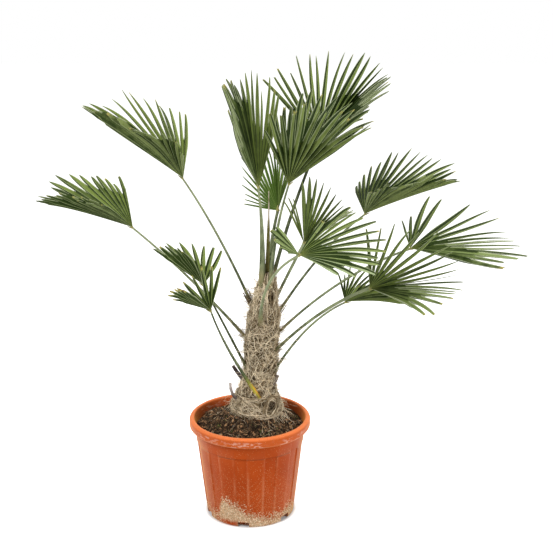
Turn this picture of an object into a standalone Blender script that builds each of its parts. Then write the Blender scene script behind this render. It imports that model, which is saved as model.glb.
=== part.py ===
"""Potted windmill palm: a fibre-clad trunk with fourteen fan leaves, in soil, in a ribbed nursery pot.

Metres, +Z up. The origin is the centre of the pot's flat underside, and -Y is the plant's front.
"""

import math
from collections import namedtuple

import bmesh
import bpy
from mathutils import Matrix, Vector

GAP = 0.0003  # clearance between pieces that touch

POT_HEIGHT = 0.268
POT_RIM_RADIUS = 0.160
POT_BASE_RADIUS = 0.1175
POT_WALL = 0.0035
POT_FLOOR = 0.004
RIM_DEPTH = 0.0275
RIM_OPENING_RADIUS = 0.147
WALL_TOP_RADIUS = 0.1458
COLLAR_DEPTH = 0.036
COLLAR_STEP = 0.0012
RIM_ROUNDING = 0.008
LIP_ROUNDING = 0.003
BASE_BEVEL = 0.003
POT_SIDES = 64

NOTCH_COUNT = 6
NOTCH_WIDTH = 0.030
NOTCH_HEIGHT = 0.013
NOTCH_DEPTH = 0.014
FIRST_NOTCH_ANGLE = -98.0

SOIL_EDGE_HEIGHT = 0.244
SOIL_MOUND_HEIGHT = 0.280
SOIL_MOUND_RADIUS = 0.064
SOIL_SHOULDER = (0.105, 0.256)
SOIL_FOOT_RADIUS = 0.099

TRUNK_SIDES = 20
TRUNK_BURIED_BOTTOM = 0.190
TRUNK_LUMP = 0.0025
# height, centre x, radius: the trunk leans a little to +X and narrows at the crown
TRUNK_SECTIONS = (
    (TRUNK_BURIED_BOTTOM, 0.014, 0.036),
    (0.235, 0.016, 0.043),
    (0.285, 0.018, 0.046),
    (0.330, 0.020, 0.046),
    (0.370, 0.023, 0.0415),
    (0.410, 0.030, 0.0395),
    (0.455, 0.030, 0.0415),
    (0.500, 0.034, 0.0405),
    (0.550, 0.038, 0.0385),
    (0.595, 0.043, 0.0275),
    (0.625, 0.046, 0.0215),
    (0.650, 0.048, 0.0180),
    (0.664, 0.049, 0.0130),
)

WRAP_CENTRE_X = 0.018
# height, radius: the loose skirt of fibre round the trunk's foot
WRAP_PROFILE = (
    (SOIL_MOUND_HEIGHT + GAP, 0.060),
    (0.291, 0.0655),
    (0.303, 0.0645),
    (0.318, 0.057),
    (0.336, 0.050),
)
WRAP_SIDES = 32

STALK_RADIUS = 0.0052
STALK_TIP_RADIUS = 0.0032
STALK_POINTS = 9
TUBE_BEVEL_RESOLUTION = 2

BLADE_THICKNESS = 0.0015
BLADE_INNER_RADIUS = 0.002
BLADE_RINGS = (0.25, 0.50)  # the united part of the fan, as shares of a finger's length
FINGER_RINGS = ((0.75, 0.62), (1.0, 0.22))  # share of length, share of the full pitch in width
FINGER_PITCH = 10.0
FULL_TAPER_ANGLE = 110.0
KNOB_RADIUS = 0.0042

# root is inside the trunk, bend shapes the stalk, hub is where the blade's fingers meet (m).
# heading, rise, roll and fold set the blade's midrib and its two halves (degrees).
# reach is the midrib's length (m), taper and droop shape the outer fingers and the bow,
# and spread is how far the fan opens on its right and left side, seen along the midrib (degrees).
Leaf = namedtuple("Leaf", "root bend hub heading rise roll fold reach taper droop spread")
LEAVES = (
    Leaf(
        (-0.002, 0.000, 0.478), (-0.160, 0.030, 0.655), (-0.300, 0.060, 0.765),
        *(175, 18, -8, 38, 0.265, 0.60, 0.12, (65, 45)),
    ),
    Leaf(
        (0.012, 0.010, 0.560), (-0.075, 0.020, 0.765), (-0.165, 0.030, 0.900),
        *(195, 40, 5, 35, 0.31, 0.50, 0.1, (80, 60)),
    ),
    Leaf(
        (0.000, -0.014, 0.392), (-0.065, -0.022, 0.531), (-0.114, -0.035, 0.638),
        *(165, 35, -15, 42, 0.16, 0.30, 0.3, (85, 50)),
    ),
    Leaf(
        (0.031, -0.041, 0.328), (-0.058, -0.080, 0.474), (-0.091, -0.128, 0.600),
        *(150, 10, 10, 52, 0.12, 0.20, 0.0, (85, 70)),
    ),
    Leaf(
        (0.034, -0.010, 0.630), (0.038, -0.025, 0.793), (0.027, -0.040, 0.890),
        *(195, 78, 35, 8, 0.30, 0.30, 0.1, (50, 39)),
    ),
    Leaf(
        (0.054, -0.016, 0.625), (0.063, -0.020, 0.774), (0.100, -0.020, 0.895),
        *(-25, 38, -5, 52, 0.275, 0.18, 0.2, (66, 88)),
    ),
    Leaf(
        (0.055, 0.008, 0.620), (0.108, 0.055, 0.824), (0.179, 0.100, 0.980),
        *(15, 45, -25, 30, 0.268, 0.32, 0.1, (60, 85)),
    ),
    Leaf(
        (0.046, 0.014, 0.615), (0.054, 0.040, 0.731), (0.074, 0.070, 0.807),
        *(-80, 88, 15, 40, 0.20, 0.55, 0.1, (95, 25)),
    ),
    Leaf(
        (0.060, 0.014, 0.568), (0.108, 0.005, 0.673), (0.140, -0.005, 0.740),
        *(50, 20, -25, 55, 0.20, 0.55, 0.2, (60, 95)),
    ),
    Leaf(
        (0.030, -0.033, 0.525), (0.026, -0.145, 0.696), (0.123, -0.245, 0.773),
        *(40, 25, -28, 10, 0.22, 0.70, 0.4, (85, 125)),
    ),
    Leaf(
        (0.068, 0.008, 0.540), (0.185, 0.025, 0.726), (0.295, 0.040, 0.805),
        *(-20, 27, 0, 35, 0.272, 0.45, 0.35, (60, 105)),
    ),
    Leaf(
        (0.066, 0.000, 0.490), (0.231, 0.000, 0.661), (0.410, 0.000, 0.725),
        *(0, 5, -10, 10, 0.27, 0.20, 0.0, (55, 95)),
    ),
    Leaf(
        (0.062, -0.018, 0.450), (0.183, -0.070, 0.596), (0.300, -0.120, 0.655),
        *(5, 5, -60, 55, 0.23, 0.32, 0.0, (60, 95)),
    ),
    Leaf(
        (0.052, -0.010, 0.375), (0.140, -0.018, 0.537), (0.245, -0.025, 0.590),
        *(-10, 10, 5, 50, 0.165, 0.60, 0.8, (55, 100)),
    ),
)

SPEAR_ROUTE = ((0.044, 0.000, 0.620), (0.052, 0.000, 0.795), (0.051, 0.000, 0.873))
SPEAR_RADII = (0.0045, 0.0012)
DRY_STRIP_ROUTE = ((-0.012, -0.018, 0.306), (-0.052, -0.030, 0.330), (-0.050, -0.022, 0.368))
DRY_STRIP_RADII = (0.0040, 0.0025)
LEFT_STUB_ROUTE = ((-0.006, -0.008, 0.362), (-0.026, -0.010, 0.380), (-0.043, -0.010, 0.411))
RIGHT_STUB_ROUTE = ((0.052, -0.012, 0.348), (0.066, -0.014, 0.364), (0.074, -0.014, 0.386))
STUB_RADII = (0.0060, 0.0045)
SHORT_TUBE_POINTS = 6

# name: base colour, roughness
MATERIALS = {
    "terracotta_plastic": ((0.62, 0.19, 0.07), 0.55),
    "potting_soil": ((0.06, 0.035, 0.022), 0.95),
    "palm_fibre": ((0.42, 0.32, 0.22), 0.95),
    "dry_leaf": ((0.40, 0.36, 0.29), 0.85),
    "leaf_stalk": ((0.13, 0.19, 0.07), 0.50),
    "leaf_green": ((0.06, 0.11, 0.04), 0.50),
}


# leaf: from and to these angles across the fan (degrees), its fingers are missing
MISSING_FINGERS = {10: (-72, -22)}


def clear_scene():
    for obj in list(bpy.data.objects):
        bpy.data.objects.remove(obj)


def new_collection(name):
    collection = bpy.data.collections.new(name)
    bpy.context.scene.collection.children.link(collection)
    return collection


def new_material(name):
    colour, roughness = MATERIALS[name]
    material = bpy.data.materials.new(name)
    material.use_nodes = True
    shader = material.node_tree.nodes["Principled BSDF"]
    shader.inputs["Base Color"].default_value = (*colour, 1.0)
    shader.inputs["Roughness"].default_value = roughness
    return material


def add_object(name, mesh, collection, material):
    obj = bpy.data.objects.new(name, mesh)
    mesh.materials.append(material)
    mesh.shade_smooth()
    mesh.set_sharp_from_angle(angle=math.radians(35))
    collection.objects.link(obj)
    return obj


def make_helper(obj):
    obj.hide_render = True
    obj.display_type = "WIRE"
    return obj


def add_boolean(obj, operation, other):
    modifier = obj.modifiers.new(f"{operation.lower()} {other.name}", "BOOLEAN")
    modifier.operation = operation
    if isinstance(other, bpy.types.Collection):
        modifier.operand_type = "COLLECTION"
        modifier.collection = other
    else:
        modifier.object = other


def turned(name, profile, sides, collection, material):
    """A solid of revolution whose (radius, height) profile starts and ends on the axis."""
    mesh = bpy.data.meshes.new(name)
    points = [(radius, 0.0, height) for radius, height in profile]
    mesh.from_pydata(points, [(i, i + 1) for i in range(len(points) - 1)], [])
    obj = add_object(name, mesh, collection, material)
    screw = obj.modifiers.new("turn", "SCREW")
    screw.steps = screw.render_steps = sides
    screw.use_merge_vertices = True
    screw.merge_threshold = 0.0001
    return obj


def loft(name, rings, collection, material):
    """A closed solid through rings of equally many points, with a flat cap on each end ring."""
    bm = bmesh.new()
    loops = [[bm.verts.new(point) for point in ring] for ring in rings]
    for low, high in zip(loops, loops[1:]):
        for i in range(len(low)):
            j = (i + 1) % len(low)
            bm.faces.new((low[i], low[j], high[j]))
            bm.faces.new((low[i], high[j], high[i]))
    bm.faces.new(loops[0][::-1])
    bm.faces.new(loops[-1])
    mesh = bpy.data.meshes.new(name)
    bm.to_mesh(mesh)
    bm.free()
    return add_object(name, mesh, collection, material)


def bezier(start, bend, end, share):
    return start.lerp(bend, share).lerp(bend.lerp(end, share), share)


def tube(name, route, radii, count, collection, material):
    """A tapered round stem along a quadratic curve, made as a curve and kept as a welded mesh."""
    start, bend, end = (Vector(point) for point in route)
    curve = bpy.data.curves.new(name, "CURVE")
    curve.dimensions = "3D"
    curve.bevel_depth = 1.0
    curve.bevel_resolution = TUBE_BEVEL_RESOLUTION
    curve.use_fill_caps = True
    spline = curve.splines.new("POLY")
    spline.points.add(count - 1)
    for i, point in enumerate(spline.points):
        share = i / (count - 1)
        point.co = (*bezier(start, bend, end, share), 1.0)
        point.radius = radii[0] + (radii[1] - radii[0]) * share
    curve_object = bpy.data.objects.new(name + "_curve", curve)
    collection.objects.link(curve_object)
    evaluated = curve_object.evaluated_get(bpy.context.evaluated_depsgraph_get())
    mesh = bpy.data.meshes.new_from_object(evaluated)
    bpy.data.objects.remove(curve_object)
    mesh.materials.clear()
    bm = bmesh.new()
    bm.from_mesh(mesh)
    bmesh.ops.remove_doubles(bm, verts=bm.verts, dist=1e-5)
    bmesh.ops.recalc_face_normals(bm, faces=bm.faces)
    bm.to_mesh(mesh)
    bm.free()
    mesh.name = name
    return add_object(name, mesh, collection, material)


def socketed_tube(name, route, radii, count, parts, sockets, material):
    """A stem, and a cutter that is one gap larger all round, for what the stem grows out of."""
    stem = tube(name, route, radii, count, parts, material)
    start, bend, end = (Vector(point) for point in route)
    deeper_start = start + (start - bend).normalized() * GAP
    wider = [radius + GAP * 1.1 for radius in radii]
    make_helper(tube(name + "_socket", (deeper_start, bend, end), wider, count, sockets, material))
    return stem


def blade_axes(leaf):
    """Unit vectors along the midrib, towards the blade's right side, and up from its upper face."""
    heading, rise, roll = (math.radians(value) for value in (leaf.heading, leaf.rise, leaf.roll))
    midrib = Vector((math.cos(rise) * math.cos(heading), math.cos(rise) * math.sin(heading), math.sin(rise)))
    level_side = midrib.cross(Vector((0, 0, 1))).normalized()
    level_up = level_side.cross(midrib)
    side = level_side * math.cos(roll) + level_up * math.sin(roll)
    up = level_up * math.cos(roll) - level_side * math.sin(roll)
    return midrib, side, up


def blade_point(leaf, angle, share, tip_angle):
    """A point of the fan at an angle from the midrib (degrees), a share of the way out to tip_angle's tip."""
    midrib, side, up = blade_axes(leaf)
    turn, fold = math.radians(angle), math.radians(leaf.fold)
    direction = (
        midrib * math.cos(turn)
        + side * math.sin(turn) * math.cos(fold)
        + up * abs(math.sin(turn)) * math.sin(fold)
    )
    length = leaf.reach * (1 - leaf.taper * (tip_angle / FULL_TAPER_ANGLE) ** 2)
    distance = BLADE_INNER_RADIUS + (length - BLADE_INNER_RADIUS) * share
    return Vector(leaf.hub) + direction * distance - Vector((0, 0, leaf.droop * distance**2))


def finger_angles(leaf):
    """The angles between fingers, from the left side's edge to the right side's, with one on the midrib."""
    right, left = leaf.spread
    left_count, right_count = (max(2, round(side / FINGER_PITCH)) for side in (left, right))
    angles = [-left * (1 - i / left_count) for i in range(left_count)]
    return angles + [right * i / right_count for i in range(right_count + 1)]


def blade(name, leaf, missing, parts, cutters, material):
    """A folded fan: fingers united near the hub and free beyond, with a knob where the stalk meets it."""
    angles = finger_angles(leaf)
    fingers = [
        (i, first, last)
        for i, (first, last) in enumerate(zip(angles, angles[1:]))
        if not missing[0] < (first + last) / 2 < missing[1]
    ]
    bm = bmesh.new()
    shared_rows = []
    for share in (0.0, *BLADE_RINGS):
        shared_rows.append([bm.verts.new(blade_point(leaf, angle, share, angle)) for angle in angles])
    for low, high in zip(shared_rows, shared_rows[1:]):
        for i, _, _ in fingers:
            bm.faces.new((low[i], low[i + 1], high[i + 1], high[i]))
    for i, first, last in fingers:
        middle, half_pitch = (first + last) / 2, (last - first) / 2
        edge = [shared_rows[-1][i], shared_rows[-1][i + 1]]
        for share, width in FINGER_RINGS:
            offsets = (-half_pitch * width, half_pitch * width)
            ends = [bm.verts.new(blade_point(leaf, middle + offset, share, middle)) for offset in offsets]
            bm.faces.new((edge[0], edge[1], ends[1], ends[0]))
            edge = ends
    bmesh.ops.delete(bm, geom=[vert for vert in bm.verts if not vert.link_faces], context="VERTS")
    up = blade_axes(leaf)[2]
    sheet = bmesh.ops.extrude_face_region(bm, geom=list(bm.faces))["geom"]
    raised = [item for item in sheet if isinstance(item, bmesh.types.BMVert)]
    bmesh.ops.translate(bm, verts=raised, vec=up * BLADE_THICKNESS)
    bmesh.ops.recalc_face_normals(bm, faces=bm.faces)
    mesh = bpy.data.meshes.new(name)
    bm.to_mesh(mesh)
    bm.free()
    obj = add_object(name, mesh, parts, material)

    knob_mesh = bpy.data.meshes.new(name + "_knob")
    bm = bmesh.new()
    bmesh.ops.create_icosphere(bm, subdivisions=2, radius=KNOB_RADIUS, matrix=Matrix.Translation(leaf.hub))
    bm.to_mesh(knob_mesh)
    bm.free()
    knob = make_helper(add_object(name + "_knob", knob_mesh, cutters, material))
    add_boolean(obj, "UNION", knob)
    return obj


def trunk_radius(radius, height, angle):
    """The trunk's own radius, uneven where old leaf bases swell under the fibre."""
    if height < SOIL_MOUND_HEIGHT:
        return radius
    return radius + TRUNK_LUMP * math.sin(3 * angle + 40 * height) * math.cos(angle - 55 * height)


def trunk_rings(extra):
    """The trunk's sections, each grown by extra, for the trunk itself or for the bed that it stands in."""
    rings = []
    for index, (height, centre_x, radius) in enumerate(TRUNK_SECTIONS):
        end_shift = {0: -extra, len(TRUNK_SECTIONS) - 1: extra}.get(index, 0.0)
        ring = []
        for side in range(TRUNK_SIDES):
            angle = 2 * math.pi * side / TRUNK_SIDES
            reach = trunk_radius(radius, height, angle) + extra
            ring.append((centre_x + reach * math.cos(angle), reach * math.sin(angle), height + end_shift))
        rings.append(ring)
    return rings


def arc(centre, radius, start, end, steps):
    """Points along a circular arc, from one angle to another (degrees)."""
    turns = [math.radians(start + (end - start) * i / steps) for i in range(steps + 1)]
    return [(centre[0] + radius * math.cos(turn), centre[1] + radius * math.sin(turn)) for turn in turns]


def pot_outer_radius(height):
    """The pot's tapering outer wall below the rim."""
    return POT_BASE_RADIUS + (WALL_TOP_RADIUS - POT_BASE_RADIUS) * height / (POT_HEIGHT - RIM_DEPTH)


def pot_inner_radius(height):
    return pot_outer_radius(height) - POT_WALL - COLLAR_STEP


def make_pot(parts, cutters, material):
    """A thin tapering wall under a thick rolled rim, with drainage notches round its foot."""
    rim_bottom = POT_HEIGHT - RIM_DEPTH
    collar_bottom = rim_bottom - COLLAR_DEPTH
    rim_centre = POT_RIM_RADIUS - RIM_ROUNDING
    profile = [
        (0.0, POT_FLOOR),
        (pot_inner_radius(POT_FLOOR), POT_FLOOR),
        (pot_inner_radius(rim_bottom), rim_bottom),
    ]
    profile += arc((RIM_OPENING_RADIUS + LIP_ROUNDING, POT_HEIGHT - LIP_ROUNDING), LIP_ROUNDING, 180, 90, 2)
    profile += arc((rim_centre, POT_HEIGHT - RIM_ROUNDING), RIM_ROUNDING, 90, 0, 3)
    profile += arc((rim_centre, rim_bottom + RIM_ROUNDING), RIM_ROUNDING, 0, -90, 3)
    profile += [
        (pot_outer_radius(rim_bottom), rim_bottom),
        (pot_outer_radius(collar_bottom), collar_bottom),
        (pot_outer_radius(collar_bottom) - COLLAR_STEP, collar_bottom - COLLAR_STEP),
        (pot_outer_radius(BASE_BEVEL) - COLLAR_STEP, BASE_BEVEL),
        (POT_BASE_RADIUS - COLLAR_STEP - BASE_BEVEL, 0.0),
        (0.0, 0.0),
    ]
    pot = turned("pot", profile, POT_SIDES, parts, material)
    for index in range(NOTCH_COUNT):
        angle = math.radians(FIRST_NOTCH_ANGLE + index * 360 / NOTCH_COUNT)
        place = (
            Matrix.Rotation(angle, 4, "Z")
            @ Matrix.Translation((POT_BASE_RADIUS, 0, 0))
            @ Matrix.Diagonal((2 * NOTCH_DEPTH, NOTCH_WIDTH, 2 * NOTCH_HEIGHT, 1))
        )
        mesh = bpy.data.meshes.new(f"notch_{index + 1}")
        bm = bmesh.new()
        bmesh.ops.create_cube(bm, size=1.0, matrix=place)
        bm.to_mesh(mesh)
        bm.free()
        notch = make_helper(add_object(mesh.name, mesh, cutters, material))
        add_boolean(pot, "DIFFERENCE", notch)
    return pot


def make_soil(parts, trunk_bed, material):
    """The potting mix: mounded at the trunk, and clear of the drainage notches at its foot."""
    bottom = POT_FLOOR + GAP + NOTCH_HEIGHT
    profile = (
        (0.0, SOIL_MOUND_HEIGHT),
        (SOIL_MOUND_RADIUS, SOIL_MOUND_HEIGHT),
        SOIL_SHOULDER,
        (pot_inner_radius(SOIL_EDGE_HEIGHT) - GAP, SOIL_EDGE_HEIGHT),
        (pot_inner_radius(bottom) - GAP, bottom),
        (SOIL_FOOT_RADIUS, bottom),
        (SOIL_FOOT_RADIUS, POT_FLOOR + GAP),
        (0.0, POT_FLOOR + GAP),
    )
    soil = turned("soil", profile, POT_SIDES, parts, material)
    add_boolean(soil, "DIFFERENCE", trunk_bed)
    return soil


def make_wrap(parts, trunk_bed, sockets, material):
    """The loose fibre skirt: a turned block of the outer shape, cut to fit round the trunk and stems."""
    outline = [(radius, height) for height, radius in reversed(WRAP_PROFILE)]
    profile = [(0.0, outline[0][1]), *outline, (0.0, outline[-1][1])]
    wrap = turned("base_fibre_wrap", profile, WRAP_SIDES, parts, material)
    wrap.location.x = WRAP_CENTRE_X
    add_boolean(wrap, "DIFFERENCE", trunk_bed)
    add_boolean(wrap, "DIFFERENCE", sockets)
    return wrap


def main():
    clear_scene()
    parts = new_collection("potted_windmill_palm")
    cutters = new_collection("cutters")
    sockets = new_collection("stem_sockets")
    materials = {name: new_material(name) for name in MATERIALS}

    make_pot(parts, cutters, materials["terracotta_plastic"])
    trunk_bed = make_helper(loft("trunk_bed", trunk_rings(GAP), cutters, materials["palm_fibre"]))
    make_soil(parts, trunk_bed, materials["potting_soil"])

    for index, leaf in enumerate(LEAVES, start=1):
        arrival = (Vector(leaf.hub) - Vector(leaf.bend)).normalized()
        stalk_end = Vector(leaf.hub) - arrival * (KNOB_RADIUS + GAP)
        route = (leaf.root, leaf.bend, stalk_end)
        radii = (STALK_RADIUS, STALK_TIP_RADIUS)
        green = materials["leaf_stalk"]
        socketed_tube(f"leaf_stalk_{index:02d}", route, radii, STALK_POINTS, parts, sockets, green)
        missing = MISSING_FINGERS.get(index, (0, 0))
        blade(f"leaf_blade_{index:02d}", leaf, missing, parts, cutters, materials["leaf_green"])

    dry = materials["dry_leaf"]
    socketed_tube("spear_leaf", SPEAR_ROUTE, SPEAR_RADII, SHORT_TUBE_POINTS, parts, sockets, dry)
    strip_radii = DRY_STRIP_RADII
    socketed_tube("dry_sheath_strip", DRY_STRIP_ROUTE, strip_radii, SHORT_TUBE_POINTS, parts, sockets, dry)
    socketed_tube("cut_stub_left", LEFT_STUB_ROUTE, STUB_RADII, SHORT_TUBE_POINTS, parts, sockets, dry)
    socketed_tube("cut_stub_right", RIGHT_STUB_ROUTE, STUB_RADII, SHORT_TUBE_POINTS, parts, sockets, dry)

    trunk = loft("trunk", trunk_rings(0.0), parts, materials["palm_fibre"])
    add_boolean(trunk, "DIFFERENCE", sockets)
    make_wrap(parts, trunk_bed, sockets, materials["palm_fibre"])


main()
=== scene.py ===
"""The looks of a potted windmill palm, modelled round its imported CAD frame.

Metres, +Z up, with the origin under the middle of the pot and -Y at the plant's front. The leaf table and
the trunk, wrap and pot profiles repeat the CAD part's, so that every visible piece lies where its node does.
"""

import math
from collections import namedtuple
from functools import reduce
from types import SimpleNamespace

import bpy
import numpy as np
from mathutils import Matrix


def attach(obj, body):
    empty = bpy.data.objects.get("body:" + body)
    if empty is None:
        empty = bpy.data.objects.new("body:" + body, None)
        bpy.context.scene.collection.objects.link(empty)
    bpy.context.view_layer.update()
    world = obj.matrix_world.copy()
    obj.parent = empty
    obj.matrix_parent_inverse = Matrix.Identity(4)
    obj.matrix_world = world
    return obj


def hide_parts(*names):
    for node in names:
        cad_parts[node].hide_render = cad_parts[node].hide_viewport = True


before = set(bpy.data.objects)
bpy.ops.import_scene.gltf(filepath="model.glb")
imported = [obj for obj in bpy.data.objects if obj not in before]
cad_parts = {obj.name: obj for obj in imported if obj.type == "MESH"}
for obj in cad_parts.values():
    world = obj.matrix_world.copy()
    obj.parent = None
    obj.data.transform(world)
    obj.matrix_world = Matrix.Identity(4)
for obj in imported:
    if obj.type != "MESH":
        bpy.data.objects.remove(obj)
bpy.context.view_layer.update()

TAU = 2 * math.pi

# ---- dimensions shared with the CAD part ----

POT_HEIGHT = 0.268
POT_RIM_RADIUS = 0.160
POT_BASE_RADIUS = 0.1175
POT_WALL = 0.0035
POT_FLOOR = 0.004
RIM_BOTTOM = POT_HEIGHT - 0.0275
RIM_OPENING_RADIUS = 0.147
WALL_TOP_RADIUS = 0.1458
COLLAR_BOTTOM = RIM_BOTTOM - 0.036
COLLAR_STEP = 0.0012
RIM_ROUNDING = 0.008
LIP_ROUNDING = 0.003
BASE_BEVEL = 0.003
NOTCH_COUNT = 6
NOTCH_WIDTH = 0.030
NOTCH_HEIGHT = 0.013
NOTCH_DEPTH = 0.014
FIRST_NOTCH_ANGLE = -98.0

SOIL_EDGE_HEIGHT = 0.244
SOIL_MOUND_HEIGHT = 0.280
SOIL_MOUND_RADIUS = 0.064
SOIL_SHOULDER = (0.105, 0.256)

# height, centre x, radius
TRUNK_SECTIONS = np.array((
    (0.190, 0.014, 0.036), (0.235, 0.016, 0.043), (0.285, 0.018, 0.046), (0.330, 0.020, 0.046),
    (0.370, 0.023, 0.0415), (0.410, 0.030, 0.0395), (0.455, 0.030, 0.0415), (0.500, 0.034, 0.0405),
    (0.550, 0.038, 0.0385), (0.595, 0.043, 0.0275), (0.625, 0.046, 0.0215), (0.650, 0.048, 0.0180),
    (0.664, 0.049, 0.0130),
))
TRUNK_LUMP = 0.0025
MEAN_TRUNK_RADIUS = 0.042
WRAP_CENTRE_X = 0.018
# height, radius
WRAP_PROFILE = np.array(((0.2803, 0.060), (0.291, 0.0655), (0.303, 0.0645), (0.318, 0.057), (0.336, 0.050)))

STALK_RADIUS = 0.0052
STALK_TIP_RADIUS = 0.0032
FULL_TAPER_ANGLE = 110.0  # the angle off the midrib at which a finger is shorter by the whole taper

Leaf = namedtuple("Leaf", "root bend hub heading rise roll fold reach taper droop spread")
LEAVES = tuple(
    Leaf(*(tuple(value / 1000 for value in point) for point in row[:3]), *row[3:])
    for row in (  # root, bend and hub in millimetres
        ((-2, 0, 478), (-160, 30, 655), (-300, 60, 765), 175, 18, -8, 38, 0.265, 0.60, 0.12, (65, 45)),
        ((12, 10, 560), (-75, 20, 765), (-165, 30, 900), 195, 40, 5, 35, 0.31, 0.50, 0.1, (80, 60)),
        ((0, -14, 392), (-65, -22, 531), (-114, -35, 638), 165, 35, -15, 42, 0.16, 0.30, 0.3, (85, 50)),
        ((31, -41, 328), (-58, -80, 474), (-91, -128, 600), 150, 10, 10, 52, 0.12, 0.20, 0.0, (85, 70)),
        ((34, -10, 630), (38, -25, 793), (27, -40, 890), 195, 78, 35, 8, 0.30, 0.30, 0.1, (50, 39)),
        ((54, -16, 625), (63, -20, 774), (100, -20, 895), -25, 38, -5, 52, 0.275, 0.18, 0.2, (66, 88)),
        ((55, 8, 620), (108, 55, 824), (179, 100, 980), 15, 45, -25, 30, 0.268, 0.32, 0.1, (60, 85)),
        ((46, 14, 615), (54, 40, 731), (74, 70, 807), -80, 88, 15, 40, 0.20, 0.55, 0.1, (95, 25)),
        ((60, 14, 568), (108, 5, 673), (140, -5, 740), 50, 20, -25, 55, 0.20, 0.55, 0.2, (60, 95)),
        ((30, -33, 525), (26, -145, 696), (123, -245, 773), 40, 25, -28, 10, 0.22, 0.70, 0.4, (85, 125)),
        ((68, 8, 540), (185, 25, 726), (295, 40, 805), -20, 27, 0, 35, 0.272, 0.45, 0.35, (60, 105)),
        ((66, 0, 490), (231, 0, 661), (410, 0, 725), 0, 5, -10, 10, 0.27, 0.20, 0.0, (55, 95)),
        ((62, -18, 450), (183, -70, 596), (300, -120, 655), 5, 5, -60, 55, 0.23, 0.32, 0.0, (60, 95)),
        ((52, -10, 375), (140, -18, 537), (245, -25, 590), -10, 10, 5, 50, 0.165, 0.60, 0.8, (55, 100)),
    )
)

SPEAR_ROUTE = ((0.044, 0.000, 0.620), (0.052, 0.000, 0.795), (0.051, 0.000, 0.873))
SPEAR_RADII = (0.0045, 0.0012)
DRY_STRIP_ROUTE = ((-0.012, -0.018, 0.306), (-0.052, -0.030, 0.330), (-0.050, -0.022, 0.368))
LEFT_STUB_ROUTE = ((-0.006, -0.008, 0.362), (-0.026, -0.010, 0.380), (-0.043, -0.010, 0.411))
RIGHT_STUB_ROUTE = ((0.052, -0.012, 0.348), (0.066, -0.014, 0.364), (0.074, -0.014, 0.386))
STUB_RADII = (0.0060, 0.0045)


# ---- meshes and pieces ----


def new_mesh(name, points, faces, sharp_angle, **attributes):
    """A smooth-shaded mesh with one float attribute a point for each keyword."""
    mesh = bpy.data.meshes.new(name)
    mesh.from_pydata(points.tolist(), [], faces)
    for key, values in attributes.items():
        layer = mesh.attributes.new(key, "FLOAT", "POINT")
        layer.data.foreach_set("value", np.asarray(values, np.float32).ravel())
    mesh.shade_smooth()
    mesh.set_sharp_from_angle(angle=math.radians(sharp_angle))
    return mesh


def add_piece(mesh, material, slot, *nodes):
    """A finished piece on the plant's only body, which stands for the CAD nodes named."""
    piece = bpy.data.objects.new(mesh.name, mesh)
    bpy.context.scene.collection.objects.link(piece)
    mesh.materials.append(material)
    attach(piece, "root")
    if nodes:
        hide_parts(*nodes)
    return piece


def unit(vectors):
    return vectors / np.maximum(np.linalg.norm(vectors, axis=-1, keepdims=True), 1e-12)


def smooth_step(value, low, high):
    share = np.clip((value - low) / (high - low), 0, 1)
    return share * share * (3 - 2 * share)


def between(ends, shares):
    return ends[0] + (ends[1] - ends[0]) * shares


def bezier(route, shares):
    """Points of a quadratic curve (start, bend, end)."""
    start, bend, end = (np.array(point, float) for point in route)
    share = np.asarray(shares, float)[..., None]
    return start * (1 - share) ** 2 + bend * 2 * share * (1 - share) + end * share**2


def around(count):
    """Evenly spaced angles round a circle."""
    return TAU * np.arange(count) / count


def polar(radius, turn, height, centre_x=0.0):
    """Points round an upright line, from their radius, angle and height."""
    x, y = centre_x + radius * np.cos(turn), radius * np.sin(turn)
    return np.stack(np.broadcast_arrays(x, y, height), axis=-1)


def distance_from(place, points, reach):
    """Distances from a place, where 1 is the reach along each axis."""
    return np.linalg.norm((points - place) / np.array(reach), axis=-1)


def copies(faces, count, step, first=0):
    """The faces of count alike shapes whose points follow on each other, step points each."""
    return [tuple(corner + first + copy * step for corner in face) for copy in range(count) for face in faces]


def ring_faces(rings, sides):
    """Quads between rings of equally many points, and a cap on each end ring."""
    band = [(i, (i + 1) % sides, (i + 1) % sides + sides, i + sides) for i in range(sides)]
    last = (rings - 1) * sides
    caps = (tuple(range(sides - 1, -1, -1)), tuple(range(last, last + sides)))
    return [*copies(band, rings - 1, sides), *caps]


def ring_mesh(name, rings, sharp_angle, **attributes):
    """A closed mesh of rings; attributes are by point, by ring (a column), by side (a row) or one number."""
    size = rings.shape[:2]
    values = {key: np.broadcast_to(value, size) for key, value in attributes.items()}
    return new_mesh(name, rings.reshape(-1, 3), ring_faces(*size), sharp_angle, **values)


def round_section(count):
    return np.stack((np.cos(around(count)), np.sin(around(count))), axis=1)


def sweep(centres, upward, half_widths, half_heights, section):
    """Rings along a line: section is a loop of (across, up) points, scaled at each centre."""
    tangents = unit(np.gradient(centres, axis=0))
    ups = unit(upward - (tangents @ upward)[:, None] * tangents)
    rights = np.cross(tangents, ups)
    across = section[:, 0][None, :, None] * rights[:, None] * half_widths[:, None, None]
    rise = section[:, 1][None, :, None] * ups[:, None] * half_heights[:, None, None]
    return centres[:, None] + across + rise


# ---- materials ----


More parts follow.
